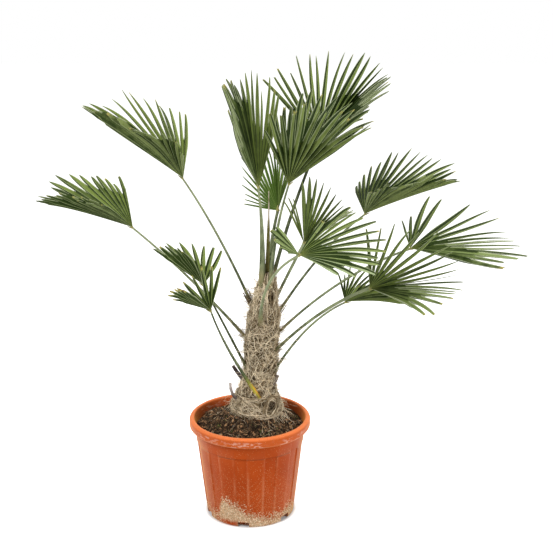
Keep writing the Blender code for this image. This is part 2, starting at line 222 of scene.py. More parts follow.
class Nodes:
    """A node tree in which each call adds a node and returns its output."""

    def __init__(self, tree):
        self.tree = tree

    def feed(self, socket, value):
        if isinstance(value, bpy.types.NodeSocket):
            self.tree.links.new(value, socket)
        elif isinstance(value, tuple) and len(value) == 3 and socket.type == "RGBA":
            socket.default_value = (*value, 1.0)
        else:
            socket.default_value = value

    def add(self, kind, inputs, output=0, **settings):
        node = self.tree.nodes.new(f"ShaderNode{kind}")
        for key, value in settings.items():
            setattr(node, key, value)
        for key, value in inputs.items():
            self.feed(node.inputs[key], value)
        return node.outputs[output]

    def math(self, operation, *values):
        return self.add("Math", dict(enumerate(values)), operation=operation)

    def total(self, *values):
        return reduce(lambda first, second: self.math("ADD", first, second), values)

    def product(self, *values):
        return reduce(lambda first, second: self.math("MULTIPLY", first, second), values)

    def less(self, first, second):
        return self.math("SUBTRACT", first, second)


class Finish(Nodes):
    """A node material round one Principled BSDF."""

    def __init__(self, name, roughness, specular, **more):
        self.material = bpy.data.materials.new(name)
        self.material.use_nodes = True
        super().__init__(self.material.node_tree)
        self.shader = self.tree.nodes["Principled BSDF"]
        self.set("Roughness", roughness)
        self.set("Specular IOR Level", specular)
        for key, value in more.items():
            self.set(key.replace("_", " ").title(), value)

    def set(self, name, value):
        self.feed(self.shader.inputs[name], value)

    def attribute(self, name):
        return self.add("Attribute", {}, output="Fac", attribute_name=name)

    def place(self, *scale):
        """The point's place on the plant, stretched for streaks."""
        place = self.add("TexCoord", {}, output="Object")
        return self.add("Mapping", {"Vector": place, "Scale": scale or (1.0, 1.0, 1.0)})

    def noise(self, vector, scale, detail=2.0, roughness=0.5):
        inputs = {"Vector": vector, "Scale": scale, "Detail": detail, "Roughness": roughness}
        return self.add("TexNoise", inputs)

    def cells(self, vector, scale, output):
        return self.add("TexVoronoi", {"Vector": vector, "Scale": scale}, output=output)

    def ramp(self, value, low, high, start=0.0, end=1.0):
        inputs = {"Value": value, "From Min": low, "From Max": high, "To Min": start, "To Max": end}
        return self.add("MapRange", inputs, interpolation_type="SMOOTHSTEP")

    def mix(self, factor, first, second):
        return self.add("Mix", {0: factor, 6: first, 7: second}, output=2, data_type="RGBA")

    def coats(self, colour, *coats):
        """The colour under (factor, colour) coats, the first lowest."""
        for factor, coat in coats:
            colour = self.mix(factor, colour, coat)
        return colour

    def dots(self, place, scale, size, share):
        """Scattered round dots, scale cells a metre; a dot is there where its random value is below share."""
        chosen = self.ramp(self.less(share, self.cells(place, scale, "Color")), -0.02, 0.02)
        return self.product(self.ramp(self.cells(place, scale, "Distance"), size, size - 0.12), chosen)

    def bump(self, height, distance, strength, **under):
        return self.add("Bump", {"Height": height, "Distance": distance, "Strength": strength, **under})

    def finish(self, colour, normal, roughness=None):
        self.set("Base Color", colour)
        self.set("Normal", normal)
        if roughness is not None:
            self.set("Roughness", roughness)
        return self.material


def leaf_finish():
    """Dark green above, grey-green below, veins, dry tips; painted shade in furrows, painted highlight on
    rims.
    """
    leaf = Finish("leaf_green", 0.45, 0.05)
    along, across, rim, tone, bloom = map(leaf.attribute, ("along", "across", "rim", "tone", "bloom"))
    mottle = leaf.noise(leaf.place(), 26.0, 4.0, 0.6)
    # One side of each pleat is painted lighter and the other darker: painted light and shade.
    flank_light = leaf.ramp(leaf.attribute("flank_light"), -0.5, 0.5, -0.55, 0.55)
    shade = leaf.total(leaf.ramp(mottle, 0.3, 0.7, -0.2, 0.2), tone, flank_light)
    lightness = leaf.ramp(shade, 0.0, 1.0)
    upper = leaf.mix(lightness, (0.007, 0.019, 0.001), (0.160, 0.213, 0.044))
    lower = leaf.mix(lightness, (0.016, 0.033, 0.004), (0.220, 0.272, 0.088))
    # A wax-like pale green on the lighter pleat sides, standing in for fill light on stretches in shade:
    # painted light.
    wax_fill_amount = leaf.product(bloom, leaf.ramp(shade, 0.15, 0.9))
    # The edges that two fingers share are darkened: painted shade in the creases between the pleats.
    pleat_shade = leaf.product(leaf.ramp(rim, -0.20, -0.95, 0.0, 0.88), leaf.ramp(bloom, 0.0, 1.0, 1.0, 0.50))
    blotch = leaf.ramp(leaf.noise(leaf.place(), 160.0), 0.3, 0.6, 0.5, 1.0)
    burn = leaf.product(leaf.attribute("burn"), blotch)
    vein_place = {"X": leaf.product(across, 9.0), "Y": leaf.product(along, 3.0), "Z": tone}
    veins = leaf.noise(leaf.add("CombineXYZ", vein_place), 1.6)
    colour = leaf.coats(
        leaf.mix(leaf.attribute("under"), upper, lower),
        (wax_fill_amount, (0.33, 0.40, 0.22)),
        (pleat_shade, (0.010, 0.022, 0.003)),
        # The free edges of the fingers are painted pale: a painted highlight.
        (leaf.ramp(rim, 0.30, 1.0, 0.0, 0.75), (0.47, 0.52, 0.31)),
        (leaf.ramp(across, 0.20, 0.0, 0.0, 0.6), (0.38, 0.44, 0.21)),
        (leaf.ramp(along, 0.16, 0.0, 0.0, 0.5), (0.22, 0.25, 0.06)),
        (leaf.attribute("fresh"), (0.075, 0.160, 0.012)),
        (leaf.ramp(burn, 0.05, 0.55), (0.42, 0.37, 0.11)),
        (leaf.ramp(burn, 0.6, 0.95), (0.22, 0.115, 0.045)),
        (leaf.ramp(veins, 0.42, 0.62, 0.0, 0.22), (0.17, 0.23, 0.07)),
    )
    return leaf.finish(colour, leaf.bump(veins, 0.0004, 0.6), leaf.ramp(mottle, 0.3, 0.7, 0.40, 0.58))


def stalk_finish():
    """Olive green with paler streaks and tan feet; a dying stalk's foot is yellow with an orange ridge."""
    stalk = Finish("leaf_stalk", 0.5, 0.14)
    along, yellow = stalk.attribute("along"), stalk.attribute("yellow")
    streak = stalk.noise(stalk.place(1.0, 1.0, 0.12), 420.0, 3.0)
    patch = stalk.noise(stalk.place(), 30.0)
    shade = stalk.total(stalk.ramp(patch, 0.3, 0.7, -0.2, 0.2), stalk.attribute("tone"))
    foot = stalk.product(stalk.ramp(along, 0.20, 0.04), stalk.ramp(patch, 0.35, 0.6, 0.2, 0.8))
    ridge = stalk.ramp(stalk.attribute("flat"), 1.0, 0.5, 0.15, 0.8)
    colour = stalk.coats(
        stalk.mix(stalk.ramp(shade, 0.0, 1.0), (0.020, 0.034, 0.006), (0.260, 0.300, 0.160)),
        (stalk.ramp(streak, 0.45, 0.7, 0.0, 0.35), (0.36, 0.38, 0.22)),
        (foot, (0.32, 0.27, 0.13)),
        (yellow, (0.34, 0.36, 0.060)),
        (stalk.product(stalk.math("POWER", yellow, 3.0), ridge), (0.90, 0.44, 0.015)),
        (stalk.ramp(along, 0.985, 1.0), (0.30, 0.28, 0.10)),
    )
    return stalk.finish(colour, stalk.bump(streak, 0.0005, 0.5))


def fibre_finish(name, dark, middle, pale):
    """Fibre or dry leaf in three tones: each strand's tone, with painted shade deep down, slow mottling, dark
    fine grain.
    """
    fibre = Finish(name, 0.92, 0.15)
    mottle = fibre.ramp(fibre.noise(fibre.place(), 55.0, 3.0), 0.3, 0.7, -0.16, 0.16)
    grain = fibre.noise(fibre.place(1.0, 1.0, 0.25), 700.0)
    shade = fibre.total(fibre.attribute("tone"), mottle)
    colour = fibre.coats(
        fibre.mix(fibre.ramp(shade, 0.0, 0.5), dark, middle),
        (fibre.ramp(shade, 0.5, 1.0), pale),
        (fibre.ramp(grain, 0.45, 0.75, 0.0, 0.4), dark),
    )
    return fibre.finish(colour, fibre.bump(grain, 0.0006, 0.5))


def pot_finish():
    """Orange-brown moulded plastic, scuffed, rubbed, speckled, sandy round the foot; painted highlights and
    shade.
    """
    sheen = {"sheen_weight": 1.0, "sheen_roughness": 0.35, "sheen_tint": (1.0, 0.42, 0.08)}
    pot = Finish("terracotta_plastic", 0.5, 0.20, specular_tint=(1.0, 0.20, 0.03), **sheen)
    place, inside = pot.place(), pot.attribute("inside")
    outside = pot.less(1.0, inside)
    height = pot.add("SeparateXYZ", {"Vector": place}, output="Z")
    broad, patches = pot.noise(place, 9.0, 3.0), pot.noise(place, 13.0)
    chalk = pot.noise(pot.place(1.0, 1.0, 2.2), 75.0, 4.0, 0.65)

    on_rim = pot.ramp(height, RIM_BOTTOM - 0.001, RIM_BOTTOM + 0.001)
    low_rim = pot.product(on_rim, pot.ramp(height, POT_HEIGHT - 0.006, POT_HEIGHT - 0.013), outside)
    scuff = pot.product(pot.ramp(chalk, 0.48, 0.60), pot.ramp(patches, 0.36, 0.55), low_rim, 0.62)
    colour = pot.coats(
        pot.mix(pot.ramp(broad, 0.3, 0.7), (0.325, 0.042, 0.0055), (0.395, 0.059, 0.0090)),
        # The rim is painted lighter and the top of its roll lighter still: painted highlights.
        (pot.product(on_rim, 0.5), (0.600, 0.124, 0.027)),
        (pot.ramp(height, POT_HEIGHT - 0.008, POT_HEIGHT - 0.001), (0.780, 0.200, 0.062)),
        (inside, (0.330, 0.060, 0.014)),
        (scuff, (0.70, 0.46, 0.36)),
    )
    # Dark lines under the rim and at the collar's step: painted shade in the creases, with some dirt at the
    # step, patchy.
    for line, width in ((RIM_BOTTOM, 0.0040), (COLLAR_BOTTOM - COLLAR_STEP, 0.0030)):
        off_line = pot.math("ABSOLUTE", pot.less(height, line))
        patchy_shade_and_grime = pot.ramp(chalk, 0.35, 0.60, 0.40, 0.80)
        shade_and_grime = pot.product(pot.ramp(off_line, width, 0.0004), patchy_shade_and_grime, outside)
        colour = pot.mix(shade_and_grime, colour, (0.130, 0.026, 0.007))

    ragged = pot.product(pot.less(pot.noise(place, 45.0, 4.0, 0.65), 0.5), 0.05)
    below = pot.total(pot.less(pot.attribute("crust"), height), ragged)
    rubbed = pot.product(pot.attribute("rubbed"), pot.ramp(height, 0.022, 0.008))
    cover = pot.product(pot.ramp(below, -0.034, 0.016, 0.0, 0.86), pot.ramp(patches, 0.30, 0.5, 0.62, 1.0))
    grains = pot.dots(place, 430.0, 0.66, pot.product(cover, pot.less(1.0, rubbed)))
    dust = pot.product(pot.ramp(below, -0.008, 0.022), pot.less(0.75, rubbed))
    sand_lot = pot.cells(pot.place(1.3, 1.3, 1.3), 380.0, "Color")
    sand = pot.mix(pot.ramp(sand_lot, 0.25, 0.75), (0.33, 0.22, 0.12), (0.84, 0.70, 0.49))

    # Paler stripes by the sunk bands' edges: painted highlights where the edges catch light, with some wear.
    edge_highlight_and_wear = pot.product(pot.attribute("edge"), pot.ramp(patches, 0.38, 0.60, 0.03, 0.27))
    density = pot.ramp(height, 0.20, 0.03, 0.20, 0.56)
    pale_dots = pot.dots(place, 480.0, 0.40, density)
    dark_dots = pot.dots(pot.place(1.1, 1.1, 1.1), 400.0, 0.40, density)
    colour = pot.coats(
        colour,
        (edge_highlight_and_wear, (0.68, 0.30, 0.15)),
        (pot.product(pale_dots, 0.5), (0.66, 0.42, 0.22)),
        (pot.product(dark_dots, 0.6), (0.130, 0.040, 0.012)),
        (dust, (0.60, 0.43, 0.26)),
        (grains, sand),
    )
    normal = pot.bump(pot.noise(place, 260.0, 3.0), 0.0004, 0.25)
    normal = pot.bump(pot.total(grains, dust), 0.0010, 0.8, Normal=normal)
    return pot.finish(colour, normal, pot.ramp(pot.total(dust, grains, scuff), 0.0, 1.0, 0.42, 0.95))


def earth_finish(name, dark, pale, scale):
    """Crumbly matter in two tones, with each crumb's own tone."""
    earth = Finish(name, 0.95, 0.15)
    grain = earth.noise(earth.place(), scale, 4.0, 0.65)
    shade = earth.total(earth.ramp(grain, 0.3, 0.7, -0.2, 0.2), earth.attribute("tone"))
    colour = earth.mix(earth.ramp(shade, 0.0, 1.0), dark, pale)
    return earth.finish(colour, earth.bump(grain, 0.002, 0.7))


# ---- leaves ----

# Shares of a finger's length, from the hub to its tip; the fingers part in one of the middle rows.
ROW_SHARES = np.array((
    *(0.012, 0.045, 0.09, 0.14, 0.19, 0.24, 0.29, 0.34, 0.39, 0.44, 0.49),
    *(0.54, 0.59, 0.64, 0.69, 0.74, 0.79, 0.84, 0.885, 0.925, 0.96, 0.985, 1.0),
))
ACROSS = np.array((-1.0, -0.5, 0.0, 0.5, 1.0))
# a pleat's width as it stands, as a share of its flattened width
MEAN_OPENING = 0.68
NARROW_HALF_OPENING = 0.58

# How each leaf's fingers stand: the angle of one flattened pleat (degrees); the shares of their length at
# which the fingers part beside the midrib, further out, at the wide half's margin, and on the narrow half;
# and how much shorter the narrow half's outermost finger is.
HABITS = {
    1: (7.2, 0.84, 0.66, 0.74, 0.84, 0.50),
    2: (9.0, 0.86, 0.40, 0.55, 0.84, 0.50),
    3: (15.0, 0.70, 0.42, 0.50, 0.66, 0.20),
    4: (19.0, 0.60, 0.36, 0.42, 0.66, 0.10),
    5: (8.0, 0.90, 0.50, 0.70, 0.86, 0.15),
    6: (10.0, 0.55, 0.62, 0.62, 0.46, 0.00),
    7: (8.6, 0.80, 0.32, 0.48, 0.80, 0.45),
    8: (10.0, 0.36, 0.30, 0.35, 0.36, 0.00),
    9: (11.0, 0.42, 0.30, 0.42, 0.46, 0.40),
    10: (14.0, 0.46, 0.38, 0.50, 0.46, 0.00),
    11: (9.0, 0.86, 0.46, 0.66, 0.86, 0.50),
    12: (13.0, 0.30, 0.27, 0.36, 0.70, 0.00),
    13: (12.5, 0.27, 0.23, 0.30, 0.70, 0.12),
    14: (11.0, 0.80, 0.34, 0.40, 0.80, 0.40),
}
FOLD_SOFTNESS = 0.07  # how gently the two halves meet at the midrib, as a sine
FOLD_CLOSING = 0.12  # how much a free finger's two flanks close
WIDENING = 0.13  # how far beyond its parting a finger goes on widening, as a share of its length
BROAD_LEAVES = {10: 0.30}  # the leaves whose fingers widen further
FLATTENING = 0.35  # how much of its fold a finger loses once free
FLAT_LEAVES = {10: 0.60}  # the leaves whose fingers lose more of it
SHALLOW_LEAVES = {10: 0.50, 11: 0.55, 12: 0.60}  # the leaves whose pleats are shallower
BLUNT_LEAVES = {10: 0.38}  # the leaves whose every finger ends bluntly
SLIT_WIDTH_SHARE = 0.93  # how much of the pitch a finger fills just beyond its parting
STIFF_SHARE = 0.40  # the first part of a finger, which stays straight
SHEET_THICKNESS = 0.0006

FRESH_LEAVES = {8: 0.5}  # the young leaf deep in the crown is a brighter green
BROWNED_LEAVES = {4: 1.0}
# Stretches of a fan that differ: from and to these angles, the fingers' length as a share of the usual (0
# where they are missing), the share at which they part (None as usual) and how much wax-like pale green
# they get, which also paints fill light onto stretches that lie in shade.
STRETCHES = {
    1: ((-45, -3, 1.0, None, 0.3),),
    2: ((15, 62, 0.91, None, 0.0),),
    3: ((-50, -3, 1.0, None, 0.6),),
    5: ((-40, -18, 1.08, 0.58, 0.40), (-18, 4, 1.0, 0.76, 0.10)),
    7: ((-16, 60, 1.0, 0.58, 0.15),),
    9: ((-73, -64, 0.0, None, 0.0), (-64, -42, 1.0, 0.58, 0.1)),
    10: (
        (-130, -72, 0.80, 0.84, 0.35),
        (-72, -22, 0.0, None, 0.0),
        (-22, -11, 0.58, 0.90, 0.2),
        (-11, 45, 1.0, 0.28, 0.0),
        (45, 62, 1.0, 0.58, 0.15),
        (62, 77, 1.0, 0.72, 0.9),
        (77, 90, 0.8, 0.72, 1.0),
    ),
    12: (
        (-92, -80, 0.7, None, 0.0),
        (-62, -50, 0.0, None, 0.0),
        (20, 60, 1.08, 0.60, 0.25),
    ),
    13: ((12, 60, 1.0, None, 0.15),),
}
# how much darker than the usual a leaf is
LEAF_TONES = {
    **{1: -0.42, 2: -0.10, 3: -0.10, 4: -0.25, 5: -0.33, 6: -0.48, 7: -0.40},
    **{11: -0.10, 12: -0.15, 13: -0.25, 14: -0.30},
}
EVEN_HALVES = (1, 2, 12, 13)  # the leaves whose narrow half gets little painted light and shade across a finger
EVEN_FLANK_LIGHT = -0.20  # the painted light and shade between their flanks, as a share of the usual
DEEP_UNDERSIDES = {6: 0.35, 14: 0.2}  # the leaves whose undersides are less grey
# the stalks' thickness near the foot, as a share of the usual
STOUT_STALKS = {4: 1.15, 5: 1.9, 6: 1.35, 8: 1.1, 9: 0.75, 12: 0.78, 13: 0.7}
# from dark olive to pale grey-green
STALK_TONES = {
    **{1: 0.90, 2: 0.75, 3: 0.35, 4: 0.30, 5: 0.72, 6: 0.66, 7: 0.10},
    **{8: 0.60, 9: 0.70, 10: 0.95, 11: 0.50, 12: 0.60, 13: 0.62, 14: 0.65},
}
YELLOW_FEET = {4: 1.0}  # the dying stalk
RIB_STEPS, RIB_RADII = (0.004, 0.009, 0.015), (0.0028, 0.0018, 0.0006)  # the stalk's end under the blade
RIB_DEPTH = 0.0016
CREST_HALF_WIDTH, CREST_BOW, CREST_HEIGHT, CREST_THICKNESS = 0.0052, 0.0030, 0.0026, 0.0014
RAGGED_STALKS = (2,)  # held by a dark, torn sheath


def blade_axes(leaf):
    """Unit vectors along the midrib, towards the blade's right side, and up from its upper face."""
    heading, rise, roll = (math.radians(value) for value in (leaf.heading, leaf.rise, leaf.roll))
    level = math.cos(rise)
    midrib = np.array((level * math.cos(heading), level * math.sin(heading), math.sin(rise)))
    level_side = unit(np.cross(midrib, (0, 0, 1)))
    level_up = np.cross(level_side, midrib)
    side = level_side * math.cos(roll) + level_up * math.sin(roll)
    up = level_up * math.cos(roll) - level_side * math.sin(roll)
    return midrib, side, up


def fan_points(leaf, turn, distance, lift):
    """Points of the folded fan, from angles off the midrib, distances from the hub and lifts off the face."""
    midrib, side, up = blade_axes(leaf)
    fold = math.radians(leaf.fold)
    across = np.sin(turn)
    softened = np.sqrt(across**2 + FOLD_SOFTNESS**2)
    direction = (
        np.cos(turn)[..., None] * midrib
        + (across * math.cos(fold))[..., None] * side
        + ((softened - FOLD_SOFTNESS) * math.sin(fold))[..., None] * up
    )
    face = up * math.cos(fold) - (across / softened * math.sin(fold))[..., None] * side
    points = np.array(leaf.hub) + direction * distance[..., None] + face * lift[..., None]
    points[..., 2] -= leaf.droop * distance**2
    return points


def at_edges(values):
    """Values by finger taken to the edges between them."""
    return np.concatenate((values[:1], 0.5 * (values[:-1] + values[1:]), values[-1:]))


def looseness(share):
    """0 on the stiff first part of a finger, up to 1 at its tip."""
    return max(0.0, (share - STIFF_SHARE) / (1 - STIFF_SHARE))


def thick_sheet(points, faces, thickness, **attributes):
    """A closed thin solid from a sheet of quads, with its attributes and one that marks the underside."""
    quads = np.array(faces)
    corners = points[quads]
    face_normals = unit(np.cross(corners[:, 2] - corners[:, 0], corners[:, 3] - corners[:, 1]))
    normals = np.zeros_like(points)
    for corner in range(4):
        np.add.at(normals, quads[:, corner], face_normals)
    normals = unit(normals) * thickness / 2
    count = len(points)
    edges = {(face[i], face[(i + 1) % 4]) for face in faces for i in range(4)}
    walls = sorted((b, a, a + count, b + count) for a, b in edges if (b, a) not in edges)
    underside = copies([face[::-1] for face in faces], 1, 0, count)
    doubled = {key: np.concatenate((values, values)) for key, values in attributes.items()}
    doubled["under"] = np.repeat((0.0, 1.0), count)
    return np.concatenate((points + normals, points - normals)), [*faces, *underside, *walls], doubled


def half_layout(spread, flat_pitch, narrow):
    """(pitches, openings, outerness) from the midrib out; the narrow half's pleats stand squeezed."""
    opening = NARROW_HALF_OPENING if narrow else MEAN_OPENING
    count = max(3, round(spread / (flat_pitch * opening)))
    place = (np.arange(count) + 0.5) / count
    pitches = 0.45 + 0.75 * smooth_step(place, 0.0, 0.35) - 0.30 * smooth_step(place, 0.75, 1.0)
    if narrow:
        pitches = np.ones(count)
    pitches *= spread / pitches.sum()
    return np.radians(pitches), np.clip(pitches / flat_pitch, 0.38, 0.93), place


def draw_fingers(leaf, index, rng):
    """How one fan's fingers stand and how each is shaped, as arrays from the fan's left to its right.

    Everything is by finger but edges and parting_row, which are by edge: one before, between and after them.
    """
    pitch, bundle, free, margin, narrow, shortening = HABITS[index]
    halves = [half_layout(spread, pitch, spread == min(leaf.spread)) for spread in leaf.spread]
    pitches, openings, outerness = (np.concatenate((halves[1][k][::-1], halves[0][k])) for k in range(3))
    count = len(pitches)
    edges = math.radians(-leaf.spread[1]) + np.concatenate(((0.0,), np.cumsum(pitches)))
    edges[1:-1] += rng.normal(0, 0.07, count - 1) * pitches.mean()
    centres = (edges[:-1] + edges[1:]) / 2
    on_narrow = (centres > 0) == (leaf.spread[0] < leaf.spread[1])

    wide_parting = np.interp(outerness, (0.12, 0.34, 0.78, 1.0), (bundle, free, free, margin))
    narrow_parting = np.interp(outerness, (0.35, 0.75), (bundle, narrow))
    parting = np.where(on_narrow, narrow_parting, wide_parting)
    stretch_length, bloom = np.ones(count), np.zeros(count)
    for first, last, length, part, wax_fill_amount in STRETCHES.get(index, ()):
        chosen = (np.degrees(centres) > first) & (np.degrees(centres) < last)
        stretch_length[chosen], bloom[chosen] = length, wax_fill_amount
        if part is not None:
            parting[chosen] = part
    parting = np.clip(at_edges(parting) + rng.normal(0, 0.035, count + 1), 0.15, 0.92)

    blunt = np.where(on_narrow, 0.35 + 0.4 * outerness, 0.04 + 0.62 * smooth_step(outerness, 0.55, 0.95))
    blunt *= rng.uniform(0.6, 1.0, count)
    lengths = leaf.reach * (1 - leaf.taper * (np.degrees(centres) / FULL_TAPER_ANGLE) ** 2)
    lengths *= np.where(on_narrow, 1 - shortening * outerness, 1.0)
    lengths *= 1 + rng.normal(0, 0.02 + 0.05 * outerness**2) - 0.07 * (rng.random(count) < 0.12)
    blunt = np.maximum(np.where(stretch_length < 0.7, 0.9, blunt), BLUNT_LEAVES.get(index, 0.0))
    sway = np.convolve(rng.normal(0, 1, count + 2), (0.3, 0.5, 0.3), "valid")
    swing = np.radians(1.6) * sway + np.radians(rng.normal(0, 0.8, count))
    bend = 0.030 * leaf.reach * np.convolve(rng.normal(0, 1, count + 2), (0.4, 0.5, 0.4), "valid")
    curl = rng.normal(-0.010, 0.016, count) * leaf.reach
    tones = np.clip(rng.normal(0.43, 0.30, count), 0, 1) + LEAF_TONES.get(index, 0.0)
    burns = np.clip(rng.normal(0.05, 0.3, count) + 0.55 * blunt, 0, 1)
    burns = np.maximum(burns, BROWNED_LEAVES.get(index, 0) * rng.uniform(0.6, 1, count))
    return SimpleNamespace(
        count=count,
        edges=edges,
        centres=centres,
        half=np.diff(edges) / 2,
        steepness=np.sqrt(1 / openings**2 - 1) * SHALLOW_LEAVES.get(index, 1.0),
        parting_row=np.abs(ROW_SHARES - parting[:, None]).argmin(axis=1),
        lengths=lengths * stretch_length,
        **{"blunt": blunt, "swing": swing, "bend": bend, "curl": curl},
        **{"tones": tones, "burns": burns, "bloom": bloom},
        flanks=np.where(on_narrow & (index in EVEN_HALVES), EVEN_FLANK_LIGHT, 1.0),
    )


def blade_mesh(name, leaf, index, rng):
    """A pleated fan of fingers, united near the hub and free beyond it."""
    fan = draw_fingers(leaf, index, rng)
    phases = rng.uniform(0, TAU, 2)
    part_shares = ROW_SHARES[fan.parting_row]
    edge_lengths = at_edges(fan.lengths)
    burn_from = 0.84 if index in BROWNED_LEAVES else 0.93

    def wave(turn, share):
        ripple = np.sin(5 * turn + phases[0]) + 0.6 * np.sin(11 * turn + phases[1])
        return 0.015 * leaf.reach * ripple * share**1.5

    def free_place(finger, edge, row, across):
        """(turn, distance, lift) of a point whose nearer side is free beyond that edge's parting."""
        share, part_share, blunt = ROW_SHARES[row], part_shares[edge], fan.blunt[finger]
        freedom = max(0.0, (share - part_share) / (1 - part_share))
        slender = (1 - freedom**2.6) ** 0.8
        taper = (1 - blunt) * slender + blunt * (1 - 0.25 * freedom)
        taper *= 1 - FOLD_CLOSING * smooth_step(freedom, 0.0, 0.4)
        widest = min(1.0, (part_share + BROAD_LEAVES.get(index, WIDENING)) / share)
        half_width = fan.half[finger] * (taper * widest * SLIT_WIDTH_SHARE if freedom else 1.0)
        loose = looseness(share)
        turn = fan.centres[finger] + across * half_width + fan.swing[finger] * loose**1.5
        distance = share * fan.lengths[finger]
        if row == len(ROW_SHARES) - 1:
            distance -= (1 - abs(across)) * fan.lengths[finger] * (0.008 + 0.05 * blunt)
        flattening = FLAT_LEAVES.get(index, FLATTENING) * smooth_step(freedom, 0.0, 0.35)
        pleat = fan.steepness[finger] * half_width * distance * (1 - flattening)
        belly = 0.08 * pleat * (1 - (2 * abs(across) - 1) ** 2)
        lift = pleat * (abs(across) - 0.5) - belly
        lift += wave(fan.centres[finger], share) + fan.bend[finger] * loose**2 + fan.curl[finger] * loose**4
        return turn, distance, lift

    def shared_place(edge, row):
        """The same of a point on an edge that two fingers share."""
        share, sides = ROW_SHARES[row], slice(edge - 1, edge + 1)
        loose = looseness(share)
        distance = share * edge_lengths[edge]
        turn = fan.edges[edge] + 0.5 * fan.swing[sides].sum() * loose**1.5
        pleat = 0.5 * (fan.steepness[sides] * fan.half[sides]).sum() * distance
        lift = 0.5 * pleat + wave(fan.edges[edge], share) + 0.5 * fan.bend[sides].sum() * loose**2
        return turn, distance, lift

    points, traits, faces, ids = [], [], [], {}
    for finger in np.flatnonzero(fan.lengths):
        previous = None
        for row, share in enumerate(ROW_SHARES):
            line = []
            for column, across in enumerate(ACROSS):
                edge = finger if across < 0 else finger + 1
                shared = abs(across) == 1 and 0 < edge < fan.count and row <= fan.parting_row[edge]
                key = (edge, row) if shared else (finger, row, column)
                if key not in ids:
                    ids[key] = len(points)
                    place = shared_place(edge, row) if shared else free_place(finger, edge, row, across)
                    points.append(place)
                    # One side of the finger gets painted light and the other painted shade.
                    flank_light = fan.flanks[finger] * math.sin(math.pi * across)
                    rim = 0.0 if abs(across) < 1 else -1.0 if shared else 1.0
                    burn = fan.burns[finger] * smooth_step(share, burn_from, 1.0)
                    tone, bloom = fan.tones[finger], fan.bloom[finger]
                    traits.append((share, abs(across), flank_light, rim, tone, burn, bloom))
                line.append(ids[key])
            if previous:
                faces += zip(previous, previous[1:], line[1:], line)
            previous = line

    sheet = fan_points(leaf, *np.array(points).T)
    arrays = dict(zip(("along", "across", "flank_light", "rim", "tone", "burn", "bloom"), np.array(traits).T))
    points, faces, arrays = thick_sheet(sheet, faces, SHEET_THICKNESS, **arrays)
    arrays["fresh"] = np.full(len(points), FRESH_LEAVES.get(index, 0.0))
    arrays["under"] *= DEEP_UNDERSIDES.get(index, 1.0)
    return new_mesh(name, points, faces, 42, **arrays)


def stalk_section():
    """A stalk's cut: rounded below, flatter above, with a shallow channel."""
    angles = around(14)
    channel = 0.30 * np.exp(-(((angles - math.pi / 2) / 0.6) ** 2))
    return np.stack((np.cos(angles), np.sin(angles) * (1 - channel)), axis=1)


def stalk_mesh(name, leaf, index):
    """A stalk from the trunk to the hub, running on as a tapering rib under the blade."""
    midrib, _, up = blade_axes(leaf)
    shares = np.linspace(0, 1, 30)
    hub = np.array(leaf.hub) - up * RIB_DEPTH
    rib = [hub + midrib * step - up * RIB_DEPTH / 2 for step in RIB_STEPS]
    centres = np.concatenate((bezier((leaf.root, leaf.bend, hub), shares), rib))
    along = np.concatenate((shares, np.ones(len(rib))))
    radius = between((STALK_RADIUS, STALK_TIP_RADIUS), along)
    radius[-len(rib):] = RIB_RADII
    foot = 1 + 0.2 * (1 - smooth_step(along, 0.0, 0.22))
    foot *= 1 + (STOUT_STALKS.get(index, 1.0) - 1) * (1 - smooth_step(along, 0.1, 0.9))
    head = 1 + 0.25 * smooth_step(along, 0.93, 1.0)
    section = stalk_section()
    rings = sweep(centres, up, radius * 1.1 * foot * head, radius * 0.82 * foot, section)
    along = along[:, None]
    # The stalk's upper side is painted lighter and its underside darker: painted light and shade.
    tone = STALK_TONES[index] * (0.45 + 0.6 * smooth_step(along, 0.0, 0.9)) + section[:, 1] * 0.16
    yellow = YELLOW_FEET.get(index, 0.0) * (1 - smooth_step(along, 0.10, 0.30))
    return ring_mesh(name, rings, 50, along=along, tone=tone, yellow=yellow, flat=np.abs(section[:, 0]))


def crest_mesh(name, leaf, rng):
    """The small papery crest where the stalk meets the blade."""
    midrib, side, up = blade_axes(leaf)
    shares = np.linspace(-1, 1, 13)
    column = shares[:, None]
    centres = leaf.hub + side * CREST_HALF_WIDTH * column + midrib * CREST_BOW * (1 - column * column)
    height = CREST_HEIGHT * np.sqrt(1 - 0.92 * shares**2) + rng.uniform(0, 0.0004, len(shares))
    thickness = CREST_THICKNESS * np.sqrt(1 - 0.9 * shares**2)
    rings = sweep(centres, up, thickness, height, round_section(8))
    return ring_mesh(name, rings, 60, tone=0.8, along=1.0)


def make_leaves(leaf_material, stalk_material):
    for index, leaf in enumerate(LEAVES, start=1):
        rng = np.random.default_rng(100 + index)
        blade = blade_mesh(f"fan_{index:02d}", leaf, index, rng)
        add_piece(blade, leaf_material, "leaf_green", f"leaf_blade_{index:02d}")
        stalk = stalk_mesh(f"petiole_{index:02d}", leaf, index)
        add_piece(stalk, stalk_material, "leaf_stalk", f"leaf_stalk_{index:02d}")
        add_piece(crest_mesh(f"crest_{index:02d}", leaf, rng), stalk_material, "leaf_stalk")


# ---- trunk and fibre ----

TUBE_SIDES = 3
HOLLOW_PLACE = np.array((0.056, -0.034, 0.596))  # a gap between leaf bases, sunk and painted dark as shade
HOLLOW_REACH = (0.0080, 0.03, 0.010)
LOOP_PLACE = np.array((0.055, -0.051, 0.311))  # the gap in the wrap
LOOP_HALF_WIDTH, LOOP_HALF_HEIGHT = 0.0165, 0.0200

# A layer of strands. heights, lengths, lift, thickness and tone are (low, high) ranges, lean is (angle from
# upright either way, scatter) in degrees, sway is how far a strand wanders, points how many points it has,
# and flare the most that its upper end stands off the surface.
Layer = namedtuple(
    "Layer", "count heights lengths lean lift thickness tone sway points flare", defaults=(0.0018, 9, 0.0)
)

